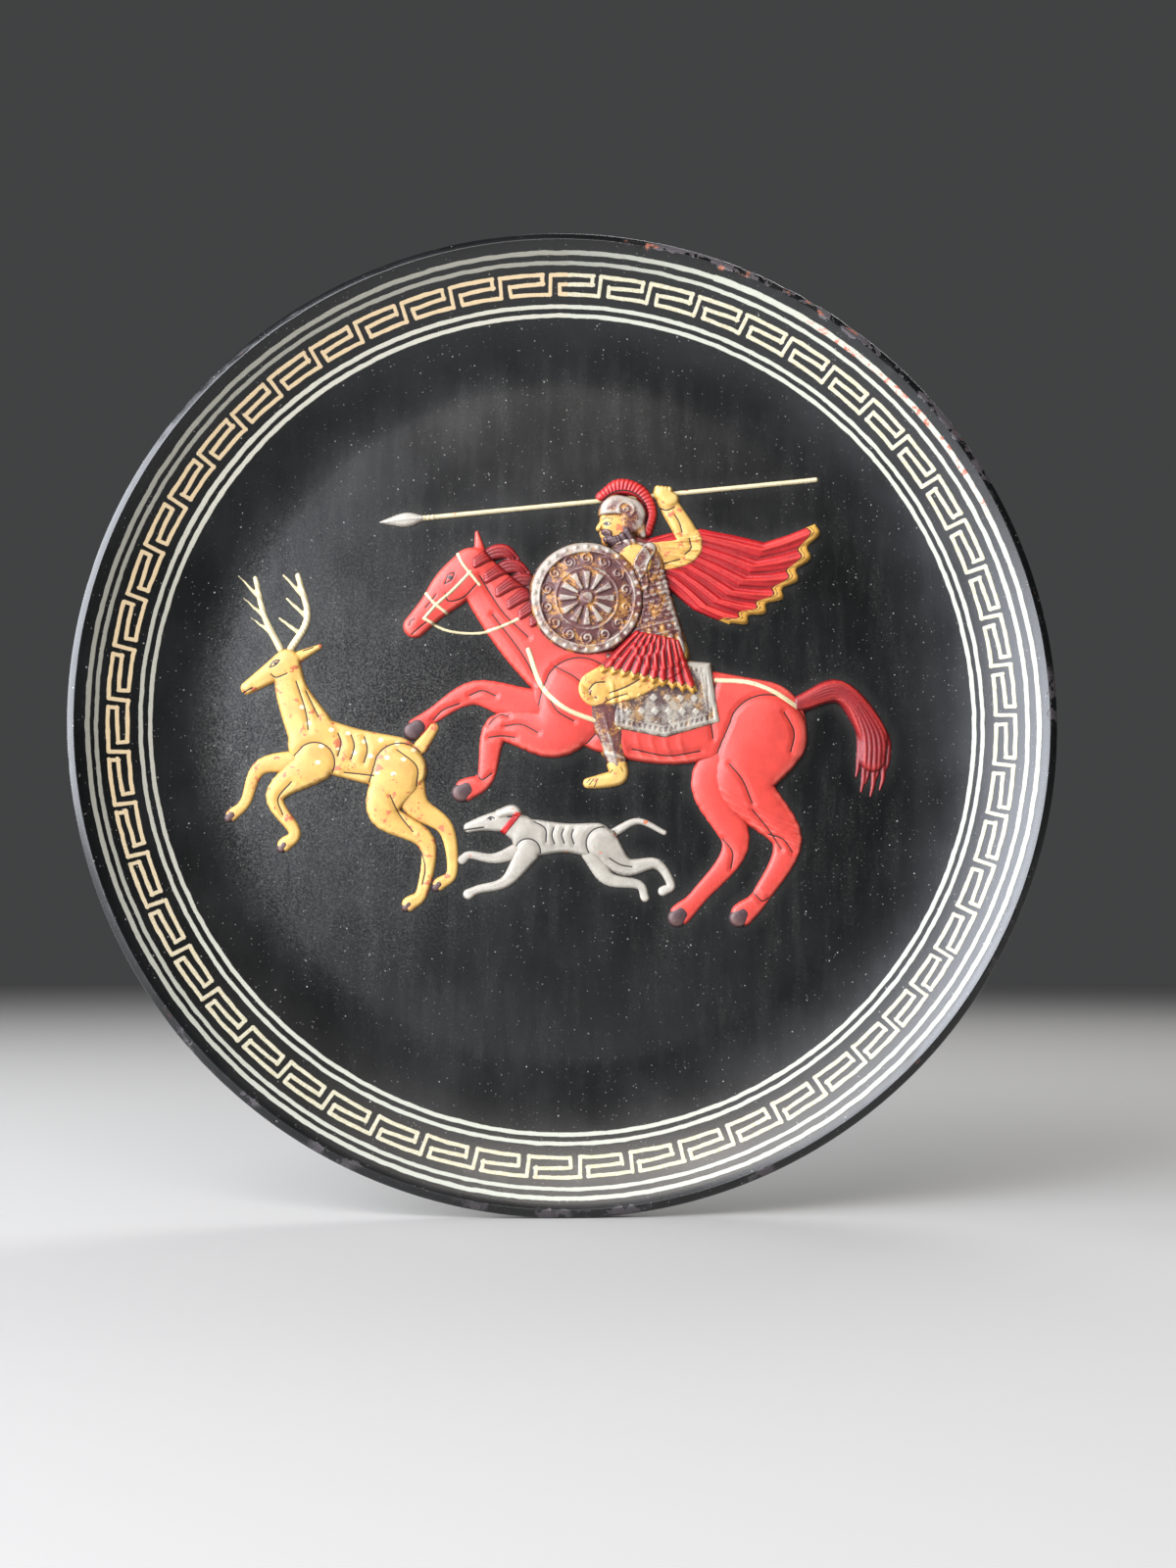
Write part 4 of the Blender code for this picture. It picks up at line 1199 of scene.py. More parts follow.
along = (SPEAR_TIP - SPEAR_BUTT) / np.hypot(*(SPEAR_TIP - SPEAR_BUTT))
neck = SPEAR_TIP - along * SPEAR_HEAD_LENGTH
middle = SPEAR_TIP - along * 0.6 * SPEAR_HEAD_LENGTH
spear, _ = limb([(*SPEAR_BUTT, SPEAR_HALF_WIDTH, 0.1), (*neck, SPEAR_HALF_WIDTH, 0.1)], 12)
spear_head, _ = limb([(*neck, 1.0, 0.3), (*middle, SPEAR_HEAD_HALF_WIDTH, 0.2), (*SPEAR_TIP, 0.4, 0.1)])
spear_head += 0.25 * ease(drawn([[neck, SPEAR_TIP - 2.0 * along]], 0.2), -0.4, 0.1)
binding = np.abs((across - neck[0]) - np.array([0.6, 2.0, 3.4])[:, None, None]).min(axis=0)
spear += 0.22 * ease(binding, 0.5, 0.2)
keep("spear", spear)
keep("spear_head", spear_head)

# %% [markdown]
# ### The stag and the hound
#
# Both are built like the horse, on thinner limbs. The antlers are long limbs with short
# tines along their front.

# %% Carve the stag
stag_far, _, _ = body(STAG, 0.5, FAR_LEGS)
stag, _, stag_ink = body(STAG, 0.9, ("barrel", "neck", "head", "ear", "tail", *NEAR_LEGS), NEAR_LEGS)
STAG_HEAD = STAG["head"]
stag_eye = beside(STAG_HEAD, 0.22, 1.5)
stag += bump(*stag_eye, 1.3, 0.3) + bump(*beside(STAG_HEAD, 0.95, 0.3), 1.6, 0.25)
stag_lines = drawn(on_axis(STAG_HEAD, [
    [(0.10, 1.5), (0.22, 2.3), (0.36, 1.3)],
    [(0.10, 1.5), (0.22, 0.9), (0.36, 1.3)],
    [(1.12, -0.7), (0.9, -1.0)],
    [(0.12, -3.2), (0.36, -2.4), (0.42, -0.6)],
]) + [[(-81, 20.5), (-78, 21.6)]])
stag_muscles = drawn([
    [(-83, 11), (-80, 2), (-79, -4)],
    [(-80, 8), (-76, 0)],
    [(-68, -17), (-63, -17.5), (-59, -18)],
    [(-62, -6), (-61, -10), (-62, -14)],
    [(-66, -5.5), (-65, -9), (-66, -13)],
    [(-70, -5), (-69, -8), (-70, -12)],
    [(-54, -24), (-51, -30), (-47, -35)],
    [(-52, -10), (-46, -15), (-46, -21)],
    [(-84, -20), (-88, -25), (-86.5, -30)],
    [(-44.5, -41), (-43.2, -46), (-44, -51)],
])
stag -= 0.7 * valley(np.maximum(stag_ink, stag_muscles))
pupil = drawn([[stag_eye, (stag_eye[0] + 0.1, stag_eye[1])]], 0.45)
stag_ink = highest(stag_ink, stag_lines, stag_muscles, pupil)
stag -= groove(stag_ink)
SPOTS = [(-52, -8), (-57, -7), (-62, -7.5), (-67, -5), (-72, -4), (-50, -13), (-55, -12.5), (-60, -12),
         (-65, -11), (-70, -9.5), (-75, -9), (-47, -10), (-53, -17.5), (-79, -2), (-81, 3), (-76, -14),
         (-58, -17)]
stag_spots = highest(OUTSIDE, *(0.8 - np.hypot(across - x, (up - z) * 1.25) for x, z in SPOTS))
keep("stag_far_legs", stag_far)
keep("stag", stag, stag_ink, ease(stag_spots, -0.12, 0.12))

TINES = 3
TINE_LENGTH = 8.0
antlers = NOTHING
for joints in ANTLERS.values():
    antlers = melt(antlers, limb(joints)[0], 0.3)
    beam = smooth_path(joints, 2)
    for i in range(TINES):
        x, z, _, lift = beam[1 + i]
        tip = (x - 0.8 * TINE_LENGTH, z + 0.6 * TINE_LENGTH + i, 0.5, lift)
        antlers = melt(antlers, limb([(x, z, 0.95, lift), tip])[0], 0.3)
antlers += 0.08 * np.sin(across * 5.0 + up * 3.0)
keep("antlers", antlers)

legs = [STAG[leg] for leg in (*FAR_LEGS, *NEAR_LEGS)]
keep("stag_hooves", hooves(legs, (-0.1, -0.1, 0.1, 0.1), (0.0, 1.7), (1.4, 1.5)))

# %% Carve the hound
hound_far, _, _ = body(HOUND, 0.4, FAR_LEGS)
hound, hound_inside, hound_ink = body(HOUND, 0.8, ("barrel", "neck", "head", "tail", *NEAR_LEGS), NEAR_LEGS)
ear = limb([(-20.5, -29.6, 1.3, 1.6), (-16.6, -28.6, 1.6, 1.5), (-14.2, -30.2, 0.7, 1.3)])[0]
hound = np.maximum(hound, ear)
hound_lines = drawn([
    [(-24.2, -30.9), (-23.2, -30.4), (-22.2, -30.9)],
    [(-31.2, -34.4), (-28.4, -34.0), (-25.4, -33.6)],
    [(-15.8, -30.2), (-18.0, -30.4)],
])
hound_muscles = drawn([
    [(-4, -33.6), (-4.6, -36), (-3.8, -38.6)],
    [(-1, -34), (-1.6, -36), (-0.8, -38.4)],
    [(2, -34.2), (1.4, -36.2), (2.2, -38.6)],
    [(-10, -31.8), (-6.6, -34), (-6.4, -38)],
    [(13, -43), (16.5, -45), (20, -45.6)],
])
hound -= 0.6 * valley(np.maximum(hound_ink, hound_muscles))
pupil = drawn([[(-23.4, -31.1), (-23.3, -31.1)]], 0.4)
hound_ink = highest(hound_ink, hound_lines, hound_muscles, pupil)
hound -= groove(hound_ink)
collar_reach = np.minimum(0.95 - np.abs((across + 17.4) * 0.78 - (up + 32.4) * 0.63), hound_inside + 0.1)
collar = np.where(hound_inside > -0.2, hound + 0.3 * ease(collar_reach, -0.1, 0.3), FAR_BELOW)
collar = np.where(collar_reach > -0.3, collar + 2.5 * np.minimum(collar_reach, 0.0), FAR_BELOW)
keep("hound_far_legs", hound_far)
keep("hound", hound, hound_ink)
keep("hound_collar", collar)

# %% [markdown]
# ### The bridle
#
# Thin straps lie on the horse's head and neck. A strap takes the height of what is under it
# and adds its own thickness, so it follows the cheek and the jaw.

# %% Carve the bridle
STRAP = 0.55
HARNESS_STRAP = 0.8
headstall = on_axis(HEAD_AXIS, [
    [(0.0, 6.2), (0.06, 2.0), (0.10, -5.8)],
    [(0.62, 4.6), (0.64, 0.0), (0.62, -4.4)],
    [(0.06, -1.0), (0.35, -1.0), (0.63, -0.4), (0.86, -0.6)],
])
rein = [beside(HEAD_AXIS, 0.86, -0.6), (-36, 27), (-24, 27), (-10, 33)]
breast_strap = [(-12, 21), (-8, 10), (-1, 3), (9, -1), (16, -3)]
crupper = [(46, 12), (56, 11.5), (64, 8.5), (71, 4)]
strap_lines = np.maximum(drawn(headstall + [rein], STRAP), drawn([breast_strap, crupper], HARNESS_STRAP))
bridle = np.maximum(horse, 0.0) + 0.35 * ease(strap_lines, 0.0, 0.4)
bridle = np.where(strap_lines > -0.6, bridle + 3.0 * np.minimum(strap_lines, 0.0), FAR_BELOW)
keep("bridle", bridle)
smoothed_surface = blurred(np.maximum(surface, 0.0), CAVITY_BLUR)
print(f"{len(masses)} masses carved")

# %% [markdown]
# ### A painted highlight round the figures
#
# Where figures stand up from the field, the plate's paint turns paler grey in a soft
# band round them: a painted highlight at the foot of the relief. The band is the blurred
# plan of all the figures. The plate's own points read it.

# %% Painted highlight band on the plate
HALO_REACH = 2.2


def sampled(values, x, z):
    """Read a grid of values at any places, blending the four nearest grid points by their shares."""
    column = np.clip((x - columns_mm[0]) / GRID_STEP, 0, len(columns_mm) - 1.001)
    row = np.clip((z - rows_mm[0]) / GRID_STEP, 0, len(rows_mm) - 1.001)
    i, j = row.astype(int), column.astype(int)
    a, b = row - i, column - j
    return ((1 - a) * ((1 - b) * values[i, j] + b * values[i, j + 1])
            + a * ((1 - b) * values[i + 1, j] + b * values[i + 1, j + 1]))


# Painted highlight: the plate's paint turns paler in this band round the figures.
plan = blurred((surface > 0.0).astype(float), HALO_REACH)
plate_points = np.empty(3 * len(plate.data.vertices), dtype=np.float32)
plate.data.vertices.foreach_get("co", plate_points)
plate_points = plate_points.reshape(-1, 3) / MM
store(plate.data, "halo", sampled(plan, plate_points[:, 0], plate_points[:, 2] - CENTRE_UP) * 2.0)

# %% [markdown]
# ## Materials
#
# Everything is the same fired clay under thin coats of cold paint. What changes is the
# colour, how matt the coat is, and how it has worn. One small function adds a node with its
# settings and links. A table says, for the kinds in use, which sockets take the values in
# order and which output is meant. Any other word is a step of arithmetic. A ramp runs from
# 0 at its first number to 1, or to a third number, at its second.

# %% The node helper
KINDS = {
    "PLACE": ("TexCoord", (), "Object"),
    "STRETCH": ("Mapping", ("Vector", "Scale", "Location"), "Vector"),
    "STORED": ("Attribute", (), "Fac"),
    "NOISE": ("TexNoise", ("Vector", "Scale", "Detail", "Roughness"), "Fac"),
    "CELLS": ("TexVoronoi", ("Vector", "Scale"), "Distance"),
    "CHANCE": ("TexWhiteNoise", ("W",), "Color"),
    "RAMP": ("MapRange", ("Value", "From Min", "From Max", "To Max", "To Min"), "Result"),
    "LAYER": ("Mix", (0, 6, 7), 2, {"data_type": "RGBA"}),
    "RED": ("SeparateColor", (0,), "Red"),
    "X": ("SeparateXYZ", (0,), "X"),
    "VECTOR": ("VectorMath", (0, 1), 0),
    "BUMP": ("Bump", ("Height", "Distance"), "Normal"),
}


def add_node(tree, word, *values, output=None, **settings):
    """Add one node, set its properties, give its sockets values or links, and return its output.

    A value may be a number, a vector, a hex colour or another node's output. A step of
    arithmetic with more values than two sockets takes them two at a time.
    """
    kind, sockets, main_output, *fixed = KINDS.get(word, ("Math", (0, 1, 2), 0, {"operation": word}))
    if kind == "Math" and word != "MULTIPLY_ADD" and len(values) > 2:
        values = (add_node(tree, word, *values[:-1]), values[-1])
    for more in fixed:
        settings.update(more)
    made = tree.nodes.new("ShaderNode" + kind)
    for name, value in settings.items():
        setattr(made, name, value)
    for socket, value in zip(sockets, values):
        if isinstance(value, bpy.types.NodeSocket):
            tree.links.new(value, made.inputs[socket])
        else:
            made.inputs[socket].default_value = linear(value) if isinstance(value, str) else value
    return made.outputs[output or main_output]


def new_material(name):
    """An empty material, its Principled shader, its node helper, and the plate's own millimetres."""
    material = bpy.data.materials.new(name)
    material.use_nodes = True
    node = functools.partial(add_node, material.node_tree)
    place = node("STRETCH", node("PLACE"), (1 / MM, 1 / MM, 1 / MM), (0.0, 0.0, -CENTRE_UP))
    return material, material.node_tree.nodes["Principled BSDF"], node, place


def finish_material(material, shader, ior, **links):
    """Link the shader's sockets, and set the IOR that stays the same all over."""
    for socket, value in links.items():
        material.node_tree.links.new(value, shader.inputs[socket.replace("_", " ").title()])
    shader.inputs["IOR"].default_value = ior
    return material


# %% [markdown]
# ### Black slip and the painted border
#
# The black is a slip of fine clay, burnished to a soft sheen: almost black, roughness
# about 0.25 and IOR 1.56, with faint wiping marks and dust, a painted sheen left of the
# centre and a painted highlight round the figures. The border is four cream rings
# and a key pattern of 55 turns, brushed by hand: the strokes wander by a tenth of a
# millimetre or two, swell and thin, and the cream is rubbed through to orange clay at the
# upper right. On the left the cream is tinted warm as painted reflected light, and the
# rings there are darkened as painted shade. The pattern is drawn in polar coordinates from
# the plate's own centre, as a union of strokes: each has a distance in millimetres, and
# paint lies where it is negative.

# %% Border measures
RINGS = [
    {"radius": 126.3, "width": 1.2, "shift": (-0.2, 0.0), "joint": 294.5, "swell": 0.2},
    {"radius": 128.9, "width": 1.15, "shift": (-0.35, 0.0), "joint": 293.0, "swell": 0.3},
    {"radius": 141.4, "width": 1.1, "shift": (-0.1, -0.25), "joint": 60.0, "swell": 0.25},
    {"radius": 144.1, "width": 1.25, "shift": (0.3, -0.15), "joint": 18.3, "swell": 0.45},
]
KEYS = 55
KEY_LOW = 132.65
KEY_MIDDLE = 135.5
KEY_HIGH = 138.1
KEY_LINE = 1.1
KEY_SHIFT = (-0.25, -0.2)
FIRST_KEY = 4.33
CROWDED = (121.0, 140.0, 0.42)
SPREAD_OUT = (182.0, 305.0)
KEY_CUT = 0.10
SWELL_FADES = 55.0


# %% Border strokes
def polar(node, flat, shift):
    """Radius and clockwise angle in degrees about a point that lies a little off the plate's centre."""
    moved = node("VECTOR", flat, (-shift[0], 0.0, -shift[1]), operation="ADD")
    length = node("VECTOR", moved, operation="LENGTH", output="Value")
    side = node("X", moved)
    turned = node("ARCTAN2", side, side.node.outputs["Z"])
    return length, node("MULTIPLY", node("FLOORED_MODULO", turned, math.tau), 180.0 / math.pi)


def ring_distance(node, flat, wobble, half):
    """Distance to the nearest ring, each about its own centre and thicker where its stroke began."""
    gaps = []
    for ring in RINGS:
        length, angle = polar(node, flat, ring["shift"])
        gap = node("ABSOLUTE", node("SUBTRACT", node("ADD", length, wobble), ring["radius"]))
        fade = node("RAMP", angle, ring["joint"] + SWELL_FADES, ring["joint"])
        begun = node("RAMP", angle, ring["joint"] - 0.3, ring["joint"])
        thicker = node("MULTIPLY", fade, begun, ring["swell"] / 2)
        width = node("ADD", half, (ring["width"] - KEY_LINE) / 2, thicker)
        gaps.append(node("SUBTRACT", gap, width))
    return node("MINIMUM", *gaps)


def key_distance(node, flat, wobble, half):
    """Distance to the nearest stroke of the key pattern, whose turns are counted along the angle."""
    length, angle = polar(node, flat, KEY_SHIFT)
    radius = node("ADD", length, wobble)
    crowd = node("RAMP", angle, *CROWDED)
    relax = node("RAMP", angle, *SPREAD_OUT, CROWDED[2])
    turns = node("MULTIPLY_ADD", angle, KEYS / 360.0, KEY_CUT - FIRST_KEY * KEYS / 360.0)
    turns = node("ADD", turns, node("SUBTRACT", crowd, relax))
    cell = node("FLOOR", turns)
    pitch = math.tau * KEY_MIDDLE / KEYS
    arc = node("MULTIPLY_ADD", node("SUBTRACT", turns, cell), pitch, -KEY_CUT * pitch)
    lean = node("RED", node("CHANCE", cell, noise_dimensions="1D"))
    lift, stretch = lean.node.outputs["Green"], lean.node.outputs["Blue"]

    def stroke(off, along, middle, reach):
        """Distance to a stroke with round ends, from the distance off its line and the place along it."""
        past = node("SUBTRACT", node("ABSOLUTE", node("SUBTRACT", along, middle)), reach)
        past = node("MAXIMUM", past, 0.0)
        squares = node("MULTIPLY_ADD", off, off, node("MULTIPLY", past, past))
        return node("SUBTRACT", node("SQRT", squares), half)

    def bar(height, start, end, slope, spread):
        """A stroke along the arc between two shares of a key, its height and length spread by chance."""
        middle = (start + end) / 2 * pitch
        line = node("MULTIPLY_ADD", node("SUBTRACT", arc, middle), slope, height - spread / 2)
        off = node("SUBTRACT", radius, node("MULTIPLY_ADD", lift, spread, line))
        reach = node("MULTIPLY_ADD", stretch, spread, (end - start) / 2 * pitch - spread / 2)
        return stroke(off, arc, middle, reach)

    def leg(low, high, foot, head, spread):
        """A stroke across the band, from a share of the key at its foot to a share at its head."""
        slope = (head - foot) * pitch / (high - low)
        line = node("MULTIPLY_ADD", radius, slope, foot * pitch - slope * low - spread / 2)
        off = node("SUBTRACT", arc, node("MULTIPLY_ADD", lean, spread, line))
        return stroke(off, radius, (low + high) / 2, (high - low) / 2)

    bars = [(KEY_HIGH, 0.0, 0.85, 0.005, 0.3), (KEY_MIDDLE, 0.18, 0.85, 0.03, 0.4),
            (KEY_LOW, 0.18, 1.0, -0.01, 0.0), (KEY_LOW - 0.1, -0.22, -0.01, -0.01, 0.0)]
    legs = [(KEY_LOW - 0.2, KEY_HIGH, -0.015, 0.005, 0.2), (KEY_MIDDLE, KEY_HIGH, 0.84, 0.845, 0.3),
            (KEY_LOW, KEY_MIDDLE, 0.185, 0.175, 0.3)]
    return node("MINIMUM", *[bar(*measures) for measures in bars], *[leg(*measures) for measures in legs])


def border_distance(node, place):
    """Distance in mm to the nearest painted stroke, with a brush that wanders and swells."""
    flat = node("VECTOR", place, (1.0, 0.0, 1.0), operation="MULTIPLY")
    wobble = node("MULTIPLY_ADD", node("NOISE", flat, 0.16, 2.0), 0.6, -0.3)
    half = node("MULTIPLY_ADD", node("NOISE", flat, 0.30, 3.0), 0.34, KEY_LINE / 2 - 0.17)
    radius, angle = polar(node, flat, (0.0, 0.0))
    to_ring, to_key = (find(node, flat, wobble, half) for find in (ring_distance, key_distance))
    return node("MINIMUM", to_ring, to_key), radius, angle


# %% Colours of the slip and the border
SLIP = "#070808"
SLIP_DUSTY = "#101112"
DUST_AND_PAINTED_LIGHT = "#a9a7a0"
DUST_SPECKS = ((0.8, 0.17, 0.45), (0.42, 0.12, 0.7), (0.14, 0.055, 0.85))
PAINTED_SHEEN_PLACE = (-80.0, -12.0, -8.0)
CREAM = "#bdb9a3"
CREAM_THIN = "#aaa07f"
CREAM_GREY = "#a6a89d"
PAINTED_WARM_LIGHT_CREAM = "#bca37d"
TERRACOTTA = "#b0604a"
SCUFF = "#4a4446"
SCUFF_DARK = "#3b3638"
CHIP_CLAY = "#8d5441"
CHIP_DARK = "#1a1818"
SCUFFED_FROM = 146.6
SHEEN = (0.21, 0.28)
SLIP_IOR = 1.56


def slip_masks(node, place):
    """What the layers share: the border, the plate's own stored numbers, and noises of several sizes."""
    distance, radius, angle = border_distance(node, place)
    front, chip, halo = (node("STORED", attribute_name=name) for name in ("front", "chip", "halo"))
    wiped = node("STRETCH", place, (0.22, 0.1, 0.035))
    return SimpleNamespace(
        place=place, radius=radius, angle=angle, chip=chip, halo=halo,
        painted=node("MULTIPLY", node("RAMP", distance, 0.10, -0.08), front),
        cloud=node("NOISE", place, 0.03, 5.0, 0.55), grain=node("NOISE", place, 1.6, 5.0, 0.6),
        patch=node("NOISE", place, 0.2, 4.0, 0.62), streak=node("NOISE", wiped, 1.0, 3.0, 0.6))


# %% Black, with dust and painted light
def black_with_dust_and_painted_light(node, on):
    """Black slip with a painted sheen, a painted highlight round the figures, wiped streaks, and dust specks
    in three sizes.
    """
    # Painted highlight: a pale band round the figures, from the stored halo.
    black = node("LAYER", node("RAMP", on.cloud, 0.40, 0.72, 0.75), SLIP, SLIP_DUSTY)
    painted_halo = node("MULTIPLY", node("RAMP", on.halo, 0.1, 1.0, 0.07),
                  node("RAMP", node("NOISE", on.place, 2.5, 4.0, 0.7), 0.36, 0.66))
    # Painted sheen: a grey haze, strongest near a point left of the centre, with wiped streaks on it.
    away = node("VECTOR", on.place, PAINTED_SHEEN_PLACE, operation="DISTANCE", output="Value")
    sheen_and_streaks = node("ADD", node("RAMP", away, 85.0, 15.0, 0.17), node("RAMP", on.streak, 0.45, 0.8, 0.06))
    sheen_and_streaks = node("MULTIPLY", sheen_and_streaks, node("RAMP", on.grain, 0.42, 0.7))
    dust_and_painted_light = node("MULTIPLY", node("ADD", sheen_and_streaks, painted_halo), node("RAMP", on.radius, 116.0, 106.0))
    black = node("LAYER", dust_and_painted_light, black, DUST_AND_PAINTED_LIGHT)
    for scale, size, share in DUST_SPECKS:
        cell = node("CELLS", on.place, scale)
        lot = node("RED", cell.node.outputs["Color"])
        speck = node("MULTIPLY", node("RAMP", cell, size, 0.5 * size), node("RAMP", lot, 0.35, 0.95),
                     node("RAMP", on.patch, 0.36, 0.58), share)
        black = node("LAYER", speck, black, DUST_AND_PAINTED_LIGHT)
    return black


# %% Cream, with wear, painted warm light and painted shade
def cream_with_wear_and_painted_light(node, on, black):
    """Cream that is thinner in random patches, greyer on the rings and rubbed to clay, with painted warm
    light and painted shade on the left.
    """
    colour = node("LAYER", node("RAMP", on.grain, 0.36, 0.62), CREAM_THIN, CREAM)
    rubbed = node("MULTIPLY", node("RAMP", on.angle, 28.0, 36.0), node("RAMP", on.angle, 67.0, 62.0),
                  node("RAMP", on.radius, 142.8, 143.2),
                  node("RAMP", node("NOISE", on.place, 0.4, 4.0, 0.7), 0.53, 0.58))
    at_rings = node("MAXIMUM", node("RAMP", on.radius, 131.8, 131.2, 0.8),
                    node("RAMP", on.radius, 139.2, 139.8, 0.8))
    # Painted shade: the rings on the left are darkened towards the black slip.
    painted_shade_outer_rings = node("MAXIMUM", node("RAMP", on.angle, 215.0, 262.0, 0.46),
                      node("RAMP", on.angle, 20.0, 2.0, 0.4))
    painted_shade_outer_rings = node("MULTIPLY", painted_shade_outer_rings, node("RAMP", on.radius, 139.4, 140.2))
    painted_shade_inner_rings = node("MULTIPLY", node("RAMP", on.angle, 236.0, 258.0, 0.25),
                      node("RAMP", on.angle, 302.0, 282.0), node("RAMP", on.radius, 131.8, 131.2))
    # The first layer is painted warm reflected light on the left of the border.
    for share, over_it in ((node("RAMP", on.angle, 225.0, 262.0, 0.85), PAINTED_WARM_LIGHT_CREAM),
                           (at_rings, CREAM_GREY), (rubbed, TERRACOTTA),
                           (node("MAXIMUM", painted_shade_outer_rings, painted_shade_inner_rings), black)):
        colour = node("LAYER", share, colour, over_it)
    return colour


# %% Burnished black slip
def slip_material():
    """Burnished black slip on fired clay with a matt cream border, dust, painted light and worn spots."""
    material, shader, node, place = new_material("burnished black slip")
    on = slip_masks(node, place)
    black = black_with_dust_and_painted_light(node, on)
    upper_right = node("MULTIPLY", node("RAMP", on.angle, 6.0, 12.0), node("RAMP", on.angle, 63.0, 58.0))
    elsewhere = node("MULTIPLY", node("RAMP", node("NOISE", place, 0.06, 2.0, 0.6), 0.56, 0.62, 0.75),
                     node("RAMP", on.angle, 240.0, 232.0))
    edge = node("MULTIPLY_ADD", on.patch, -5.0, SCUFFED_FROM + 3.4)
    scuffed = node("MULTIPLY", node("RAMP", node("SUBTRACT", on.radius, edge), 0.0, 0.25),
                   node("RAMP", on.patch, 0.47, 0.5), node("MAXIMUM", upper_right, elsewhere))
    scuff = node("LAYER", node("RAMP", on.grain, 0.40, 0.62), SCUFF_DARK, SCUFF)
    clay = node("LAYER", node("RAMP", on.patch, 0.5, 0.6), CHIP_DARK, CHIP_CLAY)
    colour = black
    for share, over_it in ((on.painted, cream_with_wear_and_painted_light(node, on, black)), (scuffed, scuff),
                           (node("RAMP", on.chip, 0.16, 0.24), clay)):
        colour = node("LAYER", share, colour, over_it)
    matt = node("RAMP", on.cloud, 0.3, 0.7, SHEEN[1], SHEEN[0])
    for mask, rougher in ((on.streak, 0.06), (on.painted, 0.12), (scuffed, 0.25)):
        matt = node("MULTIPLY_ADD", mask, rougher, matt)
    raised = node("MULTIPLY", on.painted, 0.05)
    for mask, height in ((scuffed, -0.06), (on.grain, 0.015)):
        raised = node("MULTIPLY_ADD", mask, height, raised)
    return finish_material(material, shader, SLIP_IOR, base_color=colour, roughness=matt,
                           normal=node("BUMP", raised, MM))


plate.data.materials.clear()
plate.data.materials.append(slip_material())

# %% [markdown]
# ### Cold paint on the figures
#
# Each coat has a body colour, a lighter colour where a dry brush or wear touched the
# ridges, a darker one in the hollows beside taller forms as painted shade, black ink lines,
# a black edge where the slip laps over the foot of the relief, and flakes where the
# pink-orange clay shows.

# %% Painted clay
BARE_CLAY = "#b4633f"
DRAWN_BLACK = "#17110f"
PAINT_IOR = 1.5


def painted_clay(name, body_colour, light, deep, flake=0.0, roughness=0.45, trim=None):
    """Matt cold paint on fired clay, with layers that follow the relief's own height and hollows."""
    material, shader, node, place = new_material(name)
    stored = [node("STORED", attribute_name=key) for key in ("rise", "ink", "trim", "cavity")]
    rise, ink, trimmed, cavity = stored
    brush = node("NOISE", place, 1.3, 4.0, 0.65)
    speckled = node("MULTIPLY_ADD", brush, 0.7, -0.35)
    ridge = node("ADD", cavity, speckled)
    # The third layer is painted shade: the deep colour in hollows beside taller forms.
    layers = [(node("RAMP", node("NOISE", place, 0.22, 4.0, 0.6), 0.35, 0.65, 0.35), deep),
              (node("RAMP", ridge, 0.15, 0.75, 0.85), light), (node("RAMP", ridge, -0.05, -0.75, 0.9), deep)]
    if trim:
        layers.append((trimmed, trim))
    if flake:
        patch = node("NOISE", place, 0.3, 3.0, 0.7)
        layers.append((node("RAMP", patch, 0.71 - 0.1 * flake, 0.72 - 0.1 * flake), BARE_CLAY))
    layers.append((node("RAMP", ink, -0.06, 0.05), DRAWN_BLACK))
    layers.append((node("RAMP", node("MULTIPLY_ADD", speckled, 0.5, rise), 0.22, 0.02), SLIP))
    colour = body_colour
    for share, over_it in layers:
        colour = node("LAYER", share, colour, over_it)
    gloss = node("RAMP", brush, 0.3, 0.7, roughness + 0.09, roughness - 0.07)
    normal = node("BUMP", node("MULTIPLY", brush, 0.06), MM)
    return finish_material(material, shader, PAINT_IOR, base_color=colour, roughness=gloss, normal=normal)


# %% [markdown]
# ### Rubbed bronze paint
#
# The armour is painted, not metal: a purple-brown coat, then gold rubbed on in blotches,
# then a grey-white scumble over broad areas, thickest on the highest points. The gold has
# flakes of brass in it, so it gets a little metallic reflection, and the other coats none.

# %% Rubbed bronze
HOLLOW_BROWN = "#2a1a1f"
BRONZE_LINE = "#1c1214"
BRASS_IN_GOLD = 0.35


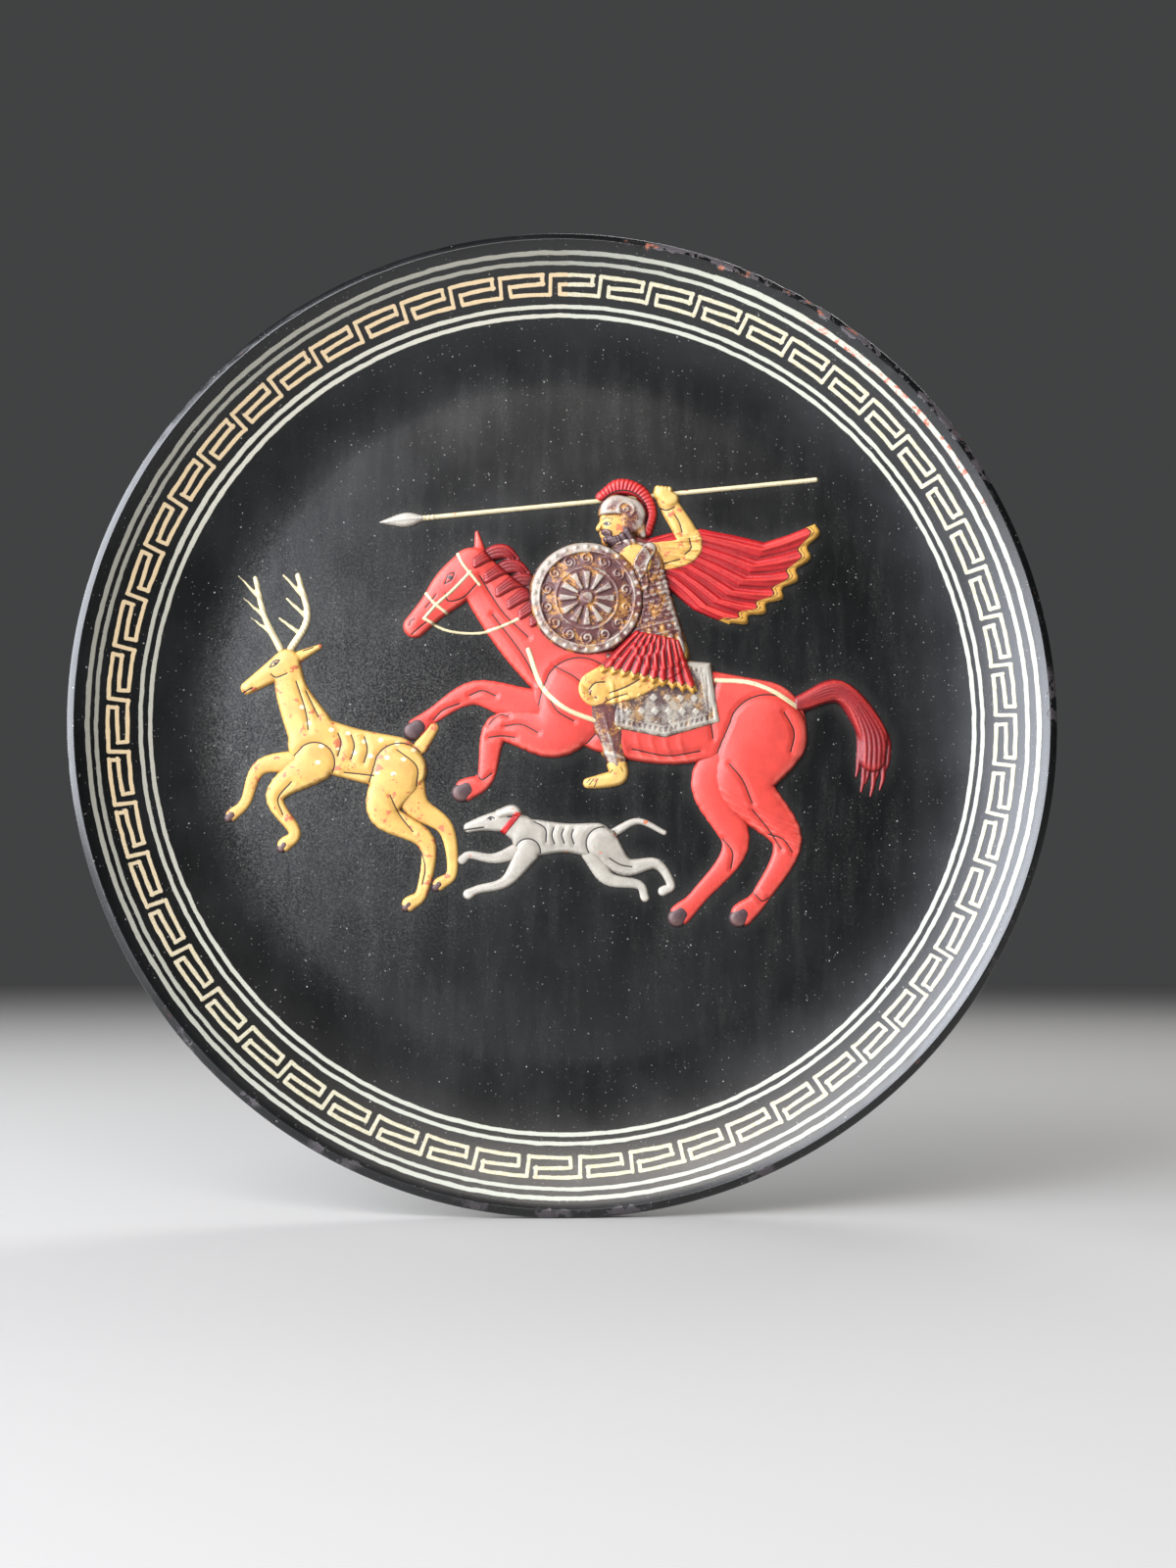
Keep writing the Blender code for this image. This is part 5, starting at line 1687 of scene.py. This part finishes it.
def rubbed_bronze(name, dark, gold, pale, gold_share, pale_share):
    """A dark coat with gold and grey-white rubbing that follows the ridges."""
    material, shader, node, place = new_material(name)
    rise, ink, cavity = (node("STORED", attribute_name=key) for key in ("rise", "ink", "cavity"))
    shifted = node("STRETCH", place, (1.0, 1.0, 1.0), (40.0, 40.0, 0.0))
    grain = node("NOISE", place, 1.8, 4.0, 0.65)
    speckled = node("MULTIPLY_ADD", grain, 0.5, -0.25)
    blotch = node("ADD", node("NOISE", place, 0.26, 4.0, 0.65), speckled)
    ridge = node("MULTIPLY_ADD", node("NOISE", shifted, 0.2, 4.0, 0.65), 1.3, -0.65)
    ridge = node("ADD", ridge, speckled, cavity)
    gilded = node("RAMP", blotch, 0.62 - gold_share, 0.70 - gold_share, 0.9)
    dusted = node("RAMP", ridge, 0.30 - pale_share, 0.62 - pale_share, 0.9)
    layers = [(node("RAMP", cavity, 0.05, -0.5, 0.8), HOLLOW_BROWN), (gilded, gold), (dusted, pale),
              (node("RAMP", ink, -0.06, 0.05), BRONZE_LINE), (node("RAMP", rise, 0.2, 0.02), SLIP)]
    colour = dark
    for share, over_it in layers:
        colour = node("LAYER", share, colour, over_it)
    metal = node("MULTIPLY", gilded, node("SUBTRACT", 1.0, dusted), BRASS_IN_GOLD)
    gloss = node("RAMP", grain, 0.3, 0.7, 0.5, 0.36)
    normal = node("BUMP", node("MULTIPLY", grain, 0.08), MM)
    return finish_material(material, shader, PAINT_IOR, base_color=colour, roughness=gloss, normal=normal,
                           metallic=metal)


# %% Every coat
PAINTED_COATS = [
    ("bright red cold paint", "#a8151a", "#c93a30", "#5a0b10", 0.0, 0.42, "#b98a3c"),
    ("coral red cold paint", "#c63d33", "#d6685a", "#8a231b", 0.0, 0.45),
    ("ochre cold paint", "#c69d50", "#d4b771", "#95622f", 1.1, 0.48, "#d8cba6"),
    ("cream cold paint", "#c4b78f", "#d2c9ae", "#8a7850", 0.2, 0.5),
    ("grey-white cold paint", "#9d978b", "#bdb8ad", "#625a52", 0.4, 0.48),
    ("purple-brown cold paint", "#3d262a", "#6b4f48", "#1e1214", 0.0, 0.48),
    ("deep red cold paint", "#7d1216", "#a82c26", "#3a080b", 0.0, 0.44),
]
bright_red, coral, ochre, cream, pale_grey, umber, maroon = (painted_clay(*coat) for coat in PAINTED_COATS)
bronze = rubbed_bronze("rubbed bronze paint", "#5a312f", "#a8763c", "#9f968a", 0.11, 0.22)
grey_bronze = rubbed_bronze("grey rubbed bronze paint", "#4b3634", "#98744a", "#9f998c", 0.12, 0.42)

# %% [markdown]
# ## Setting the figures on the plate
#
# Each mass becomes a piece with its paint. They overlap as the clay does: the higher one
# shows.

# %% Make the pieces
PAINTS = {
    "horse_far_legs": coral, "horse": coral, "horse_hooves": umber, "horse_mane": maroon,
    "horse_tail": maroon, "cloak": bright_red, "far_arm": ochre, "face": ochre, "thigh": ochre,
    "foot": ochre, "hair": umber, "cuirass": bronze, "upper_arm": ochre, "helmet": bronze,
    "crest": bright_red, "greave": bronze, "skirt": bright_red, "saddle_cloth": grey_bronze,
    "shield": bronze, "spear": cream, "spear_head": pale_grey, "stag_far_legs": ochre, "stag": ochre,
    "antlers": cream, "stag_hooves": umber, "hound_far_legs": pale_grey, "hound": pale_grey,
    "hound_collar": bright_red, "bridle": cream,
}
total = 0
for name, paint in PAINTS.items():
    piece = add_piece(name, carved_mesh(name), paint)
    total += len(piece.data.polygons)
print(f"{len(PAINTS)} pieces with {total} faces")
